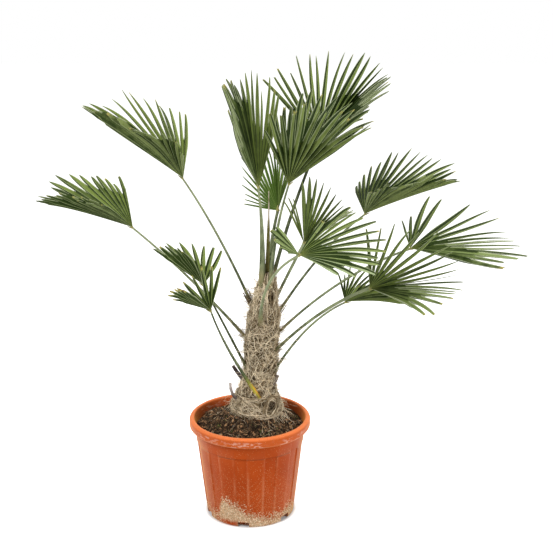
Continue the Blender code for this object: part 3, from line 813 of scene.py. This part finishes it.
BODY, LOW_BODY, CROWN = (0.300, 0.640), (0.300, 0.530), (0.52, 0.664)
# The low-lying layers get darker tones than those standing off: partly the fibre's own colour, partly painted
# shade deep in the mat.
MAT = (
    Layer(520, BODY, (0.05, 0.12), (20, 16), (0.0, 0.0014), (0.0005, 0.0011), (-0.1, 0.5)),
    Layer(330, BODY, (0.04, 0.10), (22, 24), (0.001, 0.004), (0.0005, 0.0010), (0.30, 1.10), 0.003, 10),
    Layer(440, LOW_BODY, (0.03, 0.07), (45, 32), (0.001, 0.0045), (0.0005, 0.0009), (0.30, 1.15), 0.0035, 11),
    Layer(640, BODY, (0.025, 0.06), (30, 38), (0.002, 0.008), (0.0003, 0.0006), (0.6, 1.5), 0.0045, 12),
)
ENDS = Layer(300, CROWN, (0.05, 0.11), (7, 8), (0.0008, 0.003), (0.0004, 0.0010), (0.35, 1.0), flare=0.008)
BAND = (WRAP_PROFILE[0, 0] + 0.001, WRAP_PROFILE[-1, 0] - 0.001)
# As on the trunk, the low-lying layers are darker: partly the fibre's own colour, partly painted shade deep
# in the wrap.
WOUND = (
    Layer(420, BAND, (0.05, 0.14), (78, 10), (0.0, 0.003), (0.0005, 0.0011), (0.0, 0.7), points=14),
    Layer(300, BAND, (0.04, 0.12), (68, 22), (0.001, 0.006), (0.0005, 0.0010), (0.2, 1.0), 0.0035, 14),
    Layer(480, BAND, (0.02, 0.06), (45, 35), (0.001, 0.006), (0.0003, 0.0006), (0.4, 1.2), 0.004, 11),
)


def trunk_centre(height):
    return np.interp(height, TRUNK_SECTIONS[:, 0], TRUNK_SECTIONS[:, 1])


def trunk_radius(turn, height):
    """The trunk's radius with the swellings of old leaf bases under the fibre."""
    radius = np.interp(height, TRUNK_SECTIONS[:, 0], TRUNK_SECTIONS[:, 2])
    lump = TRUNK_LUMP * np.sin(3 * turn + 40 * height) * np.cos(turn - 55 * height)
    return radius + np.where(height < SOIL_MOUND_HEIGHT, 0.0, lump)


def on_trunk(turn, height, lift):
    return polar(trunk_radius(turn, height) + lift, turn, height, trunk_centre(height))


def on_wrap(turn, height, lift):
    return polar(np.interp(height, *WRAP_PROFILE.T) + lift, turn, height, WRAP_CENTRE_X)


def patchy(turn, height):
    """A slow pattern round the trunk, from -1 to 1, that groups strands of like tone."""
    phases = np.random.default_rng(3).uniform(0, TAU, 4)
    pattern = np.sin(3 * turn + 31 * height + phases[0]) + np.sin(5 * turn - 47 * height + phases[1])
    pattern += np.sin(2 * turn + 83 * height + phases[2]) + np.sin(9 * turn + 19 * height + phases[3])
    return pattern / 4


def wander(rng, count, along, amplitude):
    """A smooth random sideways drift for each strand."""
    drift = np.zeros((count, len(along)))
    for waves, share in ((0.7, 1.0), (1.5, 0.55), (2.7, 0.3)):
        phase = rng.random((count, 1))
        drift += share * rng.normal(0, 1, (count, 1)) * np.sin(TAU * (along * waves + phase))
    return amplitude * drift


def lay_fibres(rng, surface, layer):
    """A layer's strands on a round surface, as (centres, thicknesses, tones)."""
    count, heights, along = layer.count, layer.heights, np.linspace(0, 1, layer.points)
    lean, scatter = layer.lean
    leans = np.radians(rng.choice((-lean, lean), count) + rng.normal(0, scatter, count))
    length = rng.uniform(*layer.lengths, count)
    start = rng.uniform(*heights, count) - 0.5 * length * np.cos(leans)
    climb = (length * np.cos(leans))[:, None] * along
    height = np.clip(start[:, None] + climb + wander(rng, count, along, layer.sway), *heights)
    run = (length * np.sin(leans))[:, None] * along + wander(rng, count, along, layer.sway)
    turn = rng.uniform(-math.pi, math.pi, count)[:, None] + run / MEAN_TRUNK_RADIUS
    arch = 0.6 + 0.4 * np.sin(math.pi * along + rng.uniform(-0.6, 0.6, (count, 1)))
    stand = rng.uniform(*layer.lift, count)[:, None] * arch
    stand = stand + (layer.flare * rng.random(count) ** 3)[:, None] * along**3
    centres = surface(turn, height, stand)
    thick = rng.uniform(*layer.thickness, (count, 1)) * (1 - 0.75 * along**3)
    thick = thick * (0.6 + 0.4 * np.minimum(1, along * 5))
    tones = rng.uniform(*layer.tone, count) + 0.46 * patchy(turn[:, 0], height[:, 0])
    return centres, thick, tones


def wisps(rng, roots, outward, lengths, thickness, tone, droop=0.3):
    """Loose strands that start at roots, lean outward and curl."""
    count = len(roots)
    along = np.linspace(0, 1, 8)[None, :, None]
    length = rng.uniform(*lengths, count)[:, None, None]
    aim = unit(outward + rng.normal(0, 0.35, (count, 3)))[:, None]
    curl = rng.normal(0, 0.38, (count, 1, 3))
    kink = 0.5 * rng.normal(0, 0.5, (count, 1, 3))
    centres = roots[:, None] + length * (aim * along + curl * along**2 + kink * along**3)
    centres[..., 2] -= (droop * length * along**2)[..., 0]
    thick = rng.uniform(*thickness, count)[:, None] * (1 - 0.5 * along[..., 0])
    return centres, thick, rng.uniform(*tone, count)


def tubes(centres, radii, first):
    """Closed tapering tubes: centres is (tubes, points, 3), radii (tubes, points), first an offset."""
    count, length = centres.shape[:2]
    tangents = unit(np.gradient(centres, axis=1))
    least = np.argmin(np.abs(tangents.mean(axis=1)), axis=1)
    across = unit(np.cross(tangents, np.eye(3)[least][:, None]))
    other = np.cross(tangents, across)
    angles = around(TUBE_SIDES)[:, None]
    ring = across[:, :, None] * np.cos(angles) + other[:, :, None] * np.sin(angles)
    points = centres[:, :, None] + ring * radii[:, :, None, None]
    faces = copies(ring_faces(length, TUBE_SIDES), count, length * TUBE_SIDES, first)
    return points.reshape(-1, 3), faces


def fibre_mesh(name, batches, keep=None):
    """One mesh of many strands, leaving out those that keep() refuses."""
    points, faces, tones = np.empty((0, 3)), [], []
    for centres, thick, tone in batches:
        if keep is not None:
            chosen = keep(centres)
            centres, thick, tone = centres[chosen], thick[chosen], tone[chosen]
        tube_points, tube_faces = tubes(centres, thick, len(points))
        points = np.concatenate((points, tube_points))
        faces += tube_faces
        tones.append(np.repeat(tone, centres.shape[1] * TUBE_SIDES))
    return new_mesh(name, points, faces, 80, tone=np.concatenate(tones))


def trunk_core():
    """The solid under the fibre, ridged by old leaf bases."""
    turn, height = np.meshgrid(around(120), np.linspace(TRUNK_SECTIONS[0, 0], TRUNK_SECTIONS[-1, 0], 150))
    rng = np.random.default_rng(11)
    ridges = np.zeros_like(turn)
    for _ in range(14):
        waves, climb, phase = rng.integers(4, 22), rng.uniform(-90, 90), rng.uniform(0, TAU)
        ridges += np.sin(waves * turn + climb * height + phase) / 14
    inset = -0.0022 + 0.0042 * ridges
    near = distance_from(HOLLOW_PLACE, on_trunk(turn, height, inset), (0.016, 0.02, 0.012))
    pit = 1 - smooth_step(near, 0.5, 1.1)
    # The core is dark under the strands, darker still in the grooves between its ridges and in the hollow:
    # painted shade.
    tone = 0.14 + 0.4 * ridges + 0.1 * patchy(turn, height) - 0.5 * pit
    return ring_mesh("trunk_core", on_trunk(turn, height, inset - 0.010 * pit), 80, tone=tone)


def clear_of_hollow(centres):
    """Which strands stay off the hollow, with one in eight left to cross it."""
    near = distance_from(HOLLOW_PLACE, centres, HOLLOW_REACH)
    return (near.min(axis=1) > 1) | (np.arange(len(centres)) % 8 == 0)


def make_trunk(material):
    add_piece(trunk_core(), material, "palm_fibre", "trunk")
    rng = np.random.default_rng(21)
    mat = [lay_fibres(rng, on_trunk, layer) for layer in MAT]
    add_piece(fibre_mesh("trunk_fibre_mat", mat, clear_of_hollow), material, "palm_fibre")
    ends = [
        lay_fibres(rng, on_trunk, ENDS),
        loose_hairs(rng, 560, (0.31, 0.65), (0.018, 0.040), (0.0004, 0.0006), (0.5, 1.2)),
        loose_hairs(rng, 150, (0.38, 0.64), (0.036, 0.080), (0.0004, 0.0007), (0.4, 1.0)),
    ]
    add_piece(fibre_mesh("trunk_fibre_ends", ends, clear_of_hollow), material, "palm_fibre")
    make_sheaths(material)


def loose_hairs(rng, count, heights, lengths, thickness, tone):
    """Hairs that stand off the trunk all round."""
    turn, height = rng.uniform(-math.pi, math.pi, count), rng.uniform(*heights, count)
    outward = on_trunk(turn, height, 1.0) - on_trunk(turn, height, 0.0) + np.array((0, 0, 0.6))
    return wisps(rng, on_trunk(turn, height, 0.0), outward, lengths, thickness, tone)


def make_sheaths(material):
    """Strands that climb the foot of each stalk and fray off it."""
    rng = np.random.default_rng(31)
    along = np.linspace(0, 1, 9)
    batches = []
    for index, leaf in enumerate(LEAVES, start=1):
        ragged = index in RAGGED_STALKS
        count = 60 if ragged else 20
        stalk_length = np.linalg.norm(np.array(leaf.hub) - np.array(leaf.root))
        first = rng.uniform(0.0, 0.05, (count, 1))
        climb = rng.uniform(0.010, 0.040 if ragged else 0.026, (count, 1)) / stalk_length
        spine = bezier((leaf.root, leaf.bend, leaf.hub), first + climb * along)
        tangent = unit(np.gradient(spine, axis=1))
        sideways = unit(np.cross(tangent, (0.0, 1.0, 0.0)))
        other = np.cross(tangent, sideways)
        angle = (rng.uniform(0, TAU, (count, 1)) + rng.normal(0, 0.8, (count, 1)) * along)[..., None]
        gap = STALK_RADIUS * 1.15 + rng.uniform(0, 0.003, (count, 1))
        gap = gap + rng.random((count, 1)) ** 3 * 0.010 * along**3
        centres = spine + gap[..., None] * (np.cos(angle) * sideways + np.sin(angle) * other)
        thick = rng.uniform(0.0004, 0.0010, (count, 1)) * (1 - 0.8 * along**2)
        batches.append((centres, thick, rng.uniform(-0.1 if ragged else 0.2, 0.8, count)))
    add_piece(fibre_mesh("stalk_sheath_fibres", batches, clear_of_hollow), material, "palm_fibre")


def wrap_core():
    """The solid under the wrap's strands, hollowed in the gap."""
    turn, height = np.meshgrid(around(140), np.linspace(WRAP_PROFILE[0, 0], WRAP_PROFILE[-1, 0], 40))
    lumps = 0.5 * np.sin(5 * turn + 90 * height) + 0.5 * np.sin(9 * turn - 160 * height + 2)
    inset = -0.003 + 0.002 * lumps
    near = distance_from(LOOP_PLACE, on_wrap(turn, height, inset), (0.020, 0.03, 0.022))
    pit = 1 - smooth_step(near, 0.6, 1.05)
    rings = on_wrap(turn, height, inset - 0.012 * pit)
    # Dark under the strands and darker between its lumps: painted shade.
    return ring_mesh("wrap_core", rings, 80, tone=0.12 + 0.15 * lumps + 0.12 * pit)


def loop_cords(rng):
    """The cords round the gap, as (centres, thicknesses)."""
    turn = TAU * np.linspace(0, 1.08, 26)
    cords = []
    for _ in range(16):
        uneven = 0.14 * np.sin(2 * turn + rng.uniform(-0.6, 1.8))
        uneven = uneven + 0.10 * np.sin(3 * turn + rng.uniform(0, TAU))
        grow = rng.uniform(0.88, 1.35) * (1 + uneven)
        centre = LOOP_PLACE + rng.normal(0, 0.0020, 3)
        across = LOOP_HALF_WIDTH * grow * np.cos(turn)
        y = centre[1] + across * 0.55 + rng.uniform(-0.003, 0.001)
        z = centre[2] + LOOP_HALF_HEIGHT * grow * np.sin(turn)
        cords.append(np.stack((centre[0] + across * 0.8, y, z), axis=-1))
    return np.array(cords), rng.uniform(0.0005, 0.0011, (len(cords), 1)) * np.ones(len(turn))


def clear_of_loop(centres):
    return distance_from(LOOP_PLACE, centres, (LOOP_HALF_WIDTH, 0.03, LOOP_HALF_HEIGHT)).min(axis=1) > 1


def make_wrap(material):
    """The loose skirt at the trunk's foot: strands wound round it, with a gap rimmed by pale cords."""
    rng = np.random.default_rng(41)
    add_piece(wrap_core(), material, "palm_fibre", "base_fibre_wrap")
    strands = [lay_fibres(rng, on_wrap, layer) for layer in WOUND]
    cords, thick = loop_cords(rng)
    low, high, frays = WRAP_PROFILE[0, 0], WRAP_PROFILE[-1, 0], 520
    turn = rng.uniform(-math.pi, math.pi, frays)
    roots = on_wrap(turn, low + (high - low) * rng.random(frays) ** 2, -0.001)
    outward = on_wrap(turn, low, 1.0) - on_wrap(turn, low, 0.0)
    strands.append(wisps(rng, roots, outward * 0.8, (0.008, 0.026), (0.0003, 0.0006), (0.5, 1.1), droop=0.5))
    add_piece(fibre_mesh("wrap_fibres", strands, clear_of_loop), material, "palm_fibre")
    rim = fibre_mesh("wrap_loop_rim", [(cords, thick, rng.uniform(0.2, 0.85, len(cords)))])
    add_piece(rim, material, "palm_fibre")


def make_dry_pieces(material, spear_material):
    """The dead spear, the dry strap and the two cut stubs."""
    rng = np.random.default_rng(51)
    rounded = round_section(12)
    pleated = rounded * (1 + 0.30 * np.cos(TAU * np.arange(12) / 2.4))[:, None]
    shares = np.linspace(0, 1, 26)
    column = shares[:, None]
    towards_front = np.array((0.0, -1.0, 0.0))

    ruffle = (1 + 0.18 * rng.random(26)) * (1 - 0.35 * smooth_step(shares, 0.5, 0.7))
    radius = between(SPEAR_RADII, shares) * ruffle
    rings = sweep(bezier(SPEAR_ROUTE, shares), towards_front, radius, radius * 0.8, pleated)
    tone = 0.35 + 0.25 * rng.random((26, 1)) + 0.45 * smooth_step(column, 0.45, 0.7)
    add_piece(ring_mesh("spear", rings, 45, tone=tone), spear_material, "dry_leaf", "spear_leaf")

    width = 0.0058 * (1 - 0.45 * shares) * (1 + 0.08 * rng.normal(0, 1, 26))
    strap = bezier(DRY_STRIP_ROUTE, shares)
    strap[:, 1] -= 0.002 * np.sin(6 * shares)
    rings = sweep(strap, towards_front, width, np.full(26, 0.0009), rounded)
    tone = 0.20 + 0.65 * smooth_step(column, 0.35, 0.8) + 0.12 * rounded[:, 0]
    add_piece(ring_mesh("dry_strap", rings, 45, tone=tone), material, "dry_leaf", "dry_sheath_strip")

    radius = between(STUB_RADII, shares)
    for side, route, base in (("left", LEFT_STUB_ROUTE, 0.10), ("right", RIGHT_STUB_ROUTE, 0.30)):
        rings = sweep(bezier(route, shares), towards_front, radius, radius * 0.8, stalk_section())
        tone = base + 0.5 * smooth_step(column, 0.985, 1.0)
        add_piece(ring_mesh(f"stub_{side}", rings, 45, tone=tone), material, "dry_leaf", f"cut_stub_{side}")


# ---- soil ----

BANK_RADIUS, BANK_WIDTH, BANK_HEIGHT = 0.070, 0.014, 0.007  # soil heaped up in front of the wrap
CLOD_HEIGHT = 0.0022


def pot_outer_radius(height):
    return POT_BASE_RADIUS + (WALL_TOP_RADIUS - POT_BASE_RADIUS) * height / RIM_BOTTOM


def pot_inner_radius(height):
    return pot_outer_radius(height) - POT_WALL - COLLAR_STEP


def soil_height(x, y):
    """The mound's height, with clods and hollows."""
    radius = np.hypot(x, y)
    edge = pot_inner_radius(SOIL_EDGE_HEIGHT)
    mound = np.interp(
        radius,
        (0, SOIL_MOUND_RADIUS, SOIL_SHOULDER[0], edge),
        (SOIL_MOUND_HEIGHT, SOIL_MOUND_HEIGHT, SOIL_SHOULDER[1], SOIL_EDGE_HEIGHT),
    )
    bank = np.exp(-(((radius - BANK_RADIUS) / BANK_WIDTH) ** 2)) * smooth_step(-y, 0.0, 0.05)
    mound = mound + BANK_HEIGHT * bank
    clods = np.sin(61 * x + 17 * y) * np.sin(53 * y - 29 * x + 1)
    clods = clods + 0.6 * np.sin(137 * x + 2) * np.sin(149 * y)
    clods = clods + 0.35 * np.sin(311 * x + 97 * y) * np.sin(283 * y - 120 * x)
    return mound + CLOD_HEIGHT * clods - 0.002


def soil_bed():
    """The closed body of potting mix, with its rough top."""
    turns = around(200)
    rings = []
    for height in np.linspace(POT_FLOOR + 0.012, SOIL_EDGE_HEIGHT - 0.008, 5):
        rings.append(polar(pot_inner_radius(height) - 0.0004, turns, height))
    for radius in np.linspace(pot_inner_radius(SOIL_EDGE_HEIGHT) - 0.0004, 0.030, 62):
        rings.append(polar(radius, turns, soil_height(radius * np.cos(turns), radius * np.sin(turns))))
    return ring_mesh("soil_bed", np.array(rings), 80, tone=0.3)


def icosahedron():
    golden = (1 + math.sqrt(5)) / 2
    points = [(-1, golden, 0), (1, golden, 0), (-1, -golden, 0), (1, -golden, 0)]
    points += [(0, -1, golden), (0, 1, golden), (0, -1, -golden), (0, 1, -golden)]
    points += [(golden, 0, -1), (golden, 0, 1), (-golden, 0, -1), (-golden, 0, 1)]
    faces = [(0, 11, 5), (0, 5, 1), (0, 1, 7), (0, 7, 10), (0, 10, 11), (1, 5, 9), (5, 11, 4), (11, 10, 2)]
    faces += [(10, 7, 6), (7, 1, 8), (3, 9, 4), (3, 4, 2), (3, 2, 6), (3, 6, 8), (3, 8, 9), (4, 9, 5)]
    faces += [(2, 4, 11), (6, 2, 10), (8, 6, 7), (9, 8, 1)]
    return unit(np.array(points, float)), faces


def random_turns(rng, count):
    """Random rotation matrices, from quaternions."""
    w, x, y, z = unit(rng.normal(0, 1, (count, 4))).T
    rows = (
        (1 - 2 * (y * y + z * z), 2 * (x * y - z * w), 2 * (x * z + y * w)),
        (2 * (x * y + z * w), 1 - 2 * (x * x + z * z), 2 * (y * z - x * w)),
        (2 * (x * z - y * w), 2 * (y * z + x * w), 1 - 2 * (x * x + y * y)),
    )
    return np.array(rows).transpose(2, 0, 1)


def litter_mesh(name, rng, count, sizes, shape, tone, clumps=0):
    """Many small angular bits lying in the soil; clumps gathers them round that many places."""
    outer = pot_inner_radius(SOIL_EDGE_HEIGHT) - 0.004
    radius = np.sqrt(rng.uniform(0.060**2, outer**2, count))
    turn = rng.uniform(0, TAU, count)
    if clumps:
        home = rng.integers(0, clumps, count)
        radius = np.sqrt(rng.uniform(0.085**2, outer**2, clumps))[home] + rng.normal(0, 0.004, count)
        turn = rng.uniform(0, TAU, clumps)[home] + rng.normal(0, 0.04, count)
        radius = np.minimum(radius, outer)
    x, y = radius * np.cos(turn), radius * np.sin(turn)
    size = np.exp(rng.uniform(math.log(sizes[0]), math.log(sizes[1]), count))
    unit_points, unit_faces = icosahedron()
    bits = unit_points[None] * (1 + rng.normal(0, 0.18, (count, 12, 1)))
    bits = bits * (np.array(shape) * rng.uniform(0.7, 1.3, (count, 3)))[:, None] * size[:, None, None] / 2
    bits = np.einsum("nij,nkj->nki", random_turns(rng, count), bits)
    bits += np.stack((x, y, soil_height(x, y) + size * 0.12), axis=1)[:, None]
    tones = np.repeat(rng.uniform(*tone, count), 12)
    return new_mesh(name, bits.reshape(-1, 3), copies(unit_faces, count, 12), 35, tone=tones)


def root_threads(rng, count, lengths, thickness, tone):
    """Thin threads lying on the soil."""
    outer = pot_inner_radius(SOIL_EDGE_HEIGHT) - 0.006
    along = np.linspace(0, 1, 10)
    radius, turn = np.sqrt(rng.uniform(0.062**2, outer**2, count)), rng.uniform(0, TAU, count)
    heading = rng.uniform(0, TAU, (count, 1)) + rng.normal(0, 1.0, (count, 1)) * along
    step = rng.uniform(*lengths, (count, 1)) / len(along)
    x = (radius * np.cos(turn))[:, None] + np.cumsum(np.cos(heading) * step, axis=1)
    y = (radius * np.sin(turn))[:, None] + np.cumsum(np.sin(heading) * step, axis=1)
    squeeze = np.minimum(1.0, outer / np.hypot(x, y))
    x, y = x * squeeze, y * squeeze
    z = soil_height(x, y) + 0.0012 + 0.003 * rng.random((count, 1)) * np.sin(math.pi * along)
    thick = rng.uniform(*thickness, (count, 1)) * (1 - 0.7 * along)
    return np.stack((x, y, z), axis=-1), thick, rng.uniform(*tone, count)


def make_soil():
    earth = earth_finish("potting_soil", (0.010, 0.006, 0.003), (0.115, 0.068, 0.036), 260.0)
    bark = earth_finish("bark_chips", (0.060, 0.026, 0.010), (0.460, 0.260, 0.130), 300.0)
    straw = fibre_finish("dry_roots", (0.16, 0.10, 0.05), (0.40, 0.28, 0.16), (0.74, 0.62, 0.46))
    grit = earth_finish("pale_grit", (0.38, 0.34, 0.29), (0.72, 0.69, 0.64), 500.0)
    moss = earth_finish("moss", (0.060, 0.085, 0.014), (0.200, 0.240, 0.060), 900.0)
    add_piece(soil_bed(), earth, "potting_soil", "soil")
    rng = np.random.default_rng(61)
    for name, material, *how in (  # how many, their sizes, shape and tones, and the clumps they lie in
        ("soil_crumbs", earth, 3400, (0.0015, 0.0085), (1.0, 1.0, 0.8), (0.0, 0.8)),
        ("bark_chips", bark, 1200, (0.003, 0.011), (1.2, 0.55, 0.28), (0.0, 1.1)),
        ("pale_grit", grit, 130, (0.0014, 0.0040), (1.0, 0.9, 0.8), (0.2, 1.0)),
        ("moss_bits", moss, 520, (0.0010, 0.0030), (1.0, 1.0, 1.0), (0.1, 1.0), 13),
        ("green_flakes", moss, 260, (0.0020, 0.0048), (1.2, 0.6, 0.3), (0.1, 1.1)),
    ):
        add_piece(litter_mesh(name, rng, *how), material, "potting_soil")
    threads = [
        root_threads(rng, 210, (0.010, 0.040), (0.0003, 0.0008), (0.1, 1.0)),
        root_threads(rng, 60, (0.012, 0.030), (0.0009, 0.0016), (0.1, 0.8)),
    ]
    add_piece(fibre_mesh("root_threads", threads), straw, "potting_soil")


# ---- pot ----

POT_SIDES = 440
RECESS_COUNT = 11  # the sunk upright bands below the collar
FIRST_RECESS_ANGLE = -98.9
RECESS_HALF_ANGLE = 6.8
RECESS_DEPTH = 0.0026
RECESS_BOTTOM = 0.012
CRUST_HEIGHT = 0.020
CRUST_PEAK = 0.052
CRUST_PEAK_ANGLE = -126.0  # the crust climbs steeply before this angle and falls off slowly beyond it
CRUST_CLIMB, CRUST_FALL = 9.0, 62.0


def arc(centre, radius, start, end, steps):
    turns = np.radians(np.linspace(start, end, steps + 1))
    return [(centre[0] + radius * math.cos(turn), centre[1] + radius * math.sin(turn)) for turn in turns]


def pot_profile():
    """(radius, height) points up the outside, over the rim and down the inside, each end on the floor."""
    rim_centre = POT_RIM_RADIUS - RIM_ROUNDING
    foot = pot_outer_radius(BASE_BEVEL) - COLLAR_STEP
    outside = [(0.02, 0.0), (POT_BASE_RADIUS - 0.03, 0.0)]
    outside += arc((foot - BASE_BEVEL, BASE_BEVEL), BASE_BEVEL, -90, 0, 4)
    outside += [(pot_outer_radius(z) - COLLAR_STEP, z) for z in np.linspace(0.006, COLLAR_BOTTOM - 0.002, 44)]
    outside += [(pot_outer_radius(COLLAR_BOTTOM), COLLAR_BOTTOM)]
    outside += [(pot_outer_radius(RIM_BOTTOM), RIM_BOTTOM - 0.001)]
    outside += arc((rim_centre, RIM_BOTTOM + RIM_ROUNDING), RIM_ROUNDING, -90, 0, 9)
    outside += arc((rim_centre, POT_HEIGHT - RIM_ROUNDING), RIM_ROUNDING, 0, 90, 9)
    lip_centre = (RIM_OPENING_RADIUS + LIP_ROUNDING, POT_HEIGHT - LIP_ROUNDING)
    outside += arc(lip_centre, LIP_ROUNDING, 90, 180, 5)
    inside = [(pot_inner_radius(z), z) for z in np.linspace(RIM_BOTTOM, POT_FLOOR, 14)]
    return outside, inside + [(0.02, POT_FLOOR)]


def pot_mesh():
    """The turned shell with its sunk upright bands."""
    outside, inside = pot_profile()
    profile = np.array(outside + inside)
    radius, height, turns = profile[:, :1], profile[:, 1:], around(POT_SIDES)
    on_outside = (np.arange(len(profile)) < len(outside))[:, None]
    spacing = 360 / RECESS_COUNT
    off_recess = np.abs((np.degrees(turns) - FIRST_RECESS_ANGLE + spacing / 2) % spacing - spacing / 2)
    recess = 1 - smooth_step(off_recess, RECESS_HALF_ANGLE - 0.6, RECESS_HALF_ANGLE + 0.6)
    on_band = smooth_step(height, RECESS_BOTTOM, RECESS_BOTTOM + 0.006) * (height < COLLAR_BOTTOM - 0.001)
    rings = polar(radius - RECESS_DEPTH * (recess * on_band) * on_outside, turns, height)

    past_peak = (np.degrees(turns) - CRUST_PEAK_ANGLE + 180) % 360 - 180
    climb, fall = smooth_step(past_peak, -CRUST_CLIMB, 0), 1 - smooth_step(past_peak, 0, CRUST_FALL)
    crust = CRUST_HEIGHT + CRUST_PEAK * np.where(past_peak < 0, climb, fall)
    crust = crust + 0.012 * np.exp(-(((past_peak - 100) / 18) ** 2))
    rubbed = 0.85 * np.exp(-(((past_peak - 8) / 20) ** 2))
    # Where the bands' edges get their painted highlights and wear.
    edge = np.exp(-(((off_recess - RECESS_HALF_ANGLE - 1.0) / 1.3) ** 2))
    edge = edge * (height < COLLAR_BOTTOM) * on_outside
    return ring_mesh("pot_shell", rings, 40, crust=crust, inside=~on_outside, rubbed=rubbed, edge=edge)


def cut_notches(pot):
    """Cuts the drainage notches round the foot."""
    points = []
    corners = np.array([(x, y, z) for x in (-1, 1) for y in (-0.5, 0.5) for z in (-1, 1)])
    box_faces = ((0, 1, 3, 2), (4, 6, 7, 5), (0, 4, 5, 1), (2, 3, 7, 6), (0, 2, 6, 4), (1, 5, 7, 3))
    for index in range(NOTCH_COUNT):
        angle = math.radians(FIRST_NOTCH_ANGLE + index * 360 / NOTCH_COUNT)
        local = corners * (NOTCH_DEPTH, NOTCH_WIDTH, NOTCH_HEIGHT) + (POT_BASE_RADIUS, 0, 0)
        x = local[:, 0] * math.cos(angle) - local[:, 1] * math.sin(angle)
        y = local[:, 0] * math.sin(angle) + local[:, 1] * math.cos(angle)
        points += np.stack((x, y, local[:, 2]), axis=1).tolist()
    cutter_mesh = bpy.data.meshes.new("notches")
    cutter_mesh.from_pydata(points, [], copies(box_faces, NOTCH_COUNT, 8))
    cutter = bpy.data.objects.new("notches", cutter_mesh)
    bpy.context.scene.collection.objects.link(cutter)
    modifier = pot.modifiers.new("notches", "BOOLEAN")
    modifier.object = cutter
    modifier.operation = "DIFFERENCE"
    cut = pot.evaluated_get(bpy.context.evaluated_depsgraph_get())
    pot.data = bpy.data.meshes.new_from_object(cut)
    pot.modifiers.clear()
    bpy.data.objects.remove(cutter)


# ---- stage ----

CAMERA_PLACE = (0.0705, -2.80, 1.462)
CAMERA_TILT = 73.83  # degrees up from looking straight down
CAMERA_LENS = 74.2  # millimetres, on a sensor 36 mm wide
LAMPS_AIM = (0.05, 0.0, 0.6)
LAMPS = (  # place, size, power
    ("key", (-2.1, -2.0, 3.1), 1.9, 100.0),
    ("fill", (2.6, -1.0, 1.3), 1.6, 43.0),
    ("top", (0.2, 0.6, 3.2), 2.1, 45.0),
)
AMBIENT = 0.42
# The floor's glow for the camera rises in two steps, from and to these distances from the pot's axis.
GLOW_STEPS = ((POT_BASE_RADIUS - 0.001, POT_BASE_RADIUS + 0.008, 0.60), (0.12, 0.45, 0.20))


def add_softbox(name, place, size, power):
    """A round lamp aimed at the plant's middle."""
    light = bpy.data.lights.new(name, "AREA")
    light.shape = "DISK"
    light.size = size
    light.energy = power
    lamp = bpy.data.objects.new(name, light)
    lamp.location = place
    bpy.context.scene.collection.objects.link(lamp)
    x, y, z = np.array(LAMPS_AIM) - np.array(lamp.location)
    lamp.rotation_euler = (math.pi / 2 + math.atan2(z, math.hypot(x, y)), 0, math.atan2(-x, y))


def seen_directly(nodes):
    """1 for what the camera sees straight, in a reflection or through glass, and 0 for light on the plant."""
    rays = ("Is Camera Ray", "Is Glossy Ray", "Is Transmission Ray")
    camera, glossy, through = (nodes.add("LightPath", {}, output=ray) for ray in rays)
    return nodes.math("MAXIMUM", nodes.math("MAXIMUM", camera, glossy), through)


def make_world():
    world = bpy.data.worlds.new("studio")
    bpy.context.scene.world = world
    world.use_nodes = True
    nodes = Nodes(world.node_tree)
    background = nodes.tree.nodes["Background"]
    nodes.feed(background.inputs["Color"], (1.0, 1.0, 1.0))
    level = nodes.add("MapRange", {"Value": seen_directly(nodes), "To Min": AMBIENT, "To Max": 1.0})
    nodes.feed(background.inputs["Strength"], level)


def make_floor():
    """White paper that takes the pot's shadow and glows where the camera sees it, less by the pot's foot."""
    half = 12.0
    mesh = bpy.data.meshes.new("floor")
    corners = [(-half, -half, 0), (half, -half, 0), (half, half, 0), (-half, half, 0)]
    mesh.from_pydata(corners, [], [(0, 1, 2, 3)])
    floor = bpy.data.objects.new("floor", mesh)
    floor.location.z = -0.0005
    bpy.context.scene.collection.objects.link(floor)
    paper = Finish("white_paper", 0.9, 0.0, base_color=(0.86, 0.86, 0.86), emission_color=(1.0, 1.0, 1.0))
    place = paper.add("TexCoord", {}, output="Object")
    distance = paper.add("VectorMath", {0: place}, output="Value", operation="LENGTH")
    steps = [
        paper.add("MapRange", {"Value": distance, "From Min": start, "From Max": end, "To Max": rise})
        for start, end, rise in GLOW_STEPS
    ]
    paper.set("Emission Strength", paper.product(seen_directly(paper), paper.total(*steps)))
    mesh.materials.append(paper.material)


def make_stage():
    camera_data = bpy.data.cameras.new("camera")
    camera_data.lens = CAMERA_LENS
    camera_data.sensor_width = 36.0
    camera = bpy.data.objects.new("camera", camera_data)
    camera.location = CAMERA_PLACE
    camera.rotation_euler = (math.radians(CAMERA_TILT), 0, 0)
    bpy.context.scene.collection.objects.link(camera)
    bpy.context.scene.camera = camera
    for lamp in LAMPS:
        add_softbox(*lamp)
    make_world()
    make_floor()
    bpy.context.scene.view_settings.view_transform = "Standard"


def main():
    make_leaves(leaf_finish(), stalk_finish())
    fibre = fibre_finish("palm_fibre", (0.046, 0.029, 0.014), (0.310, 0.230, 0.130), (0.970, 0.830, 0.600))
    make_trunk(fibre)
    make_wrap(fibre)
    dry = fibre_finish("dry_leaf", (0.050, 0.038, 0.034), (0.250, 0.205, 0.180), (0.600, 0.530, 0.480))
    spear = fibre_finish("dry_spear", (0.080, 0.060, 0.020), (0.170, 0.155, 0.045), (0.560, 0.480, 0.380))
    make_dry_pieces(dry, spear)
    make_soil()
    cut_notches(add_piece(pot_mesh(), pot_finish(), "terracotta_plastic", "pot"))
    make_stage()


main()
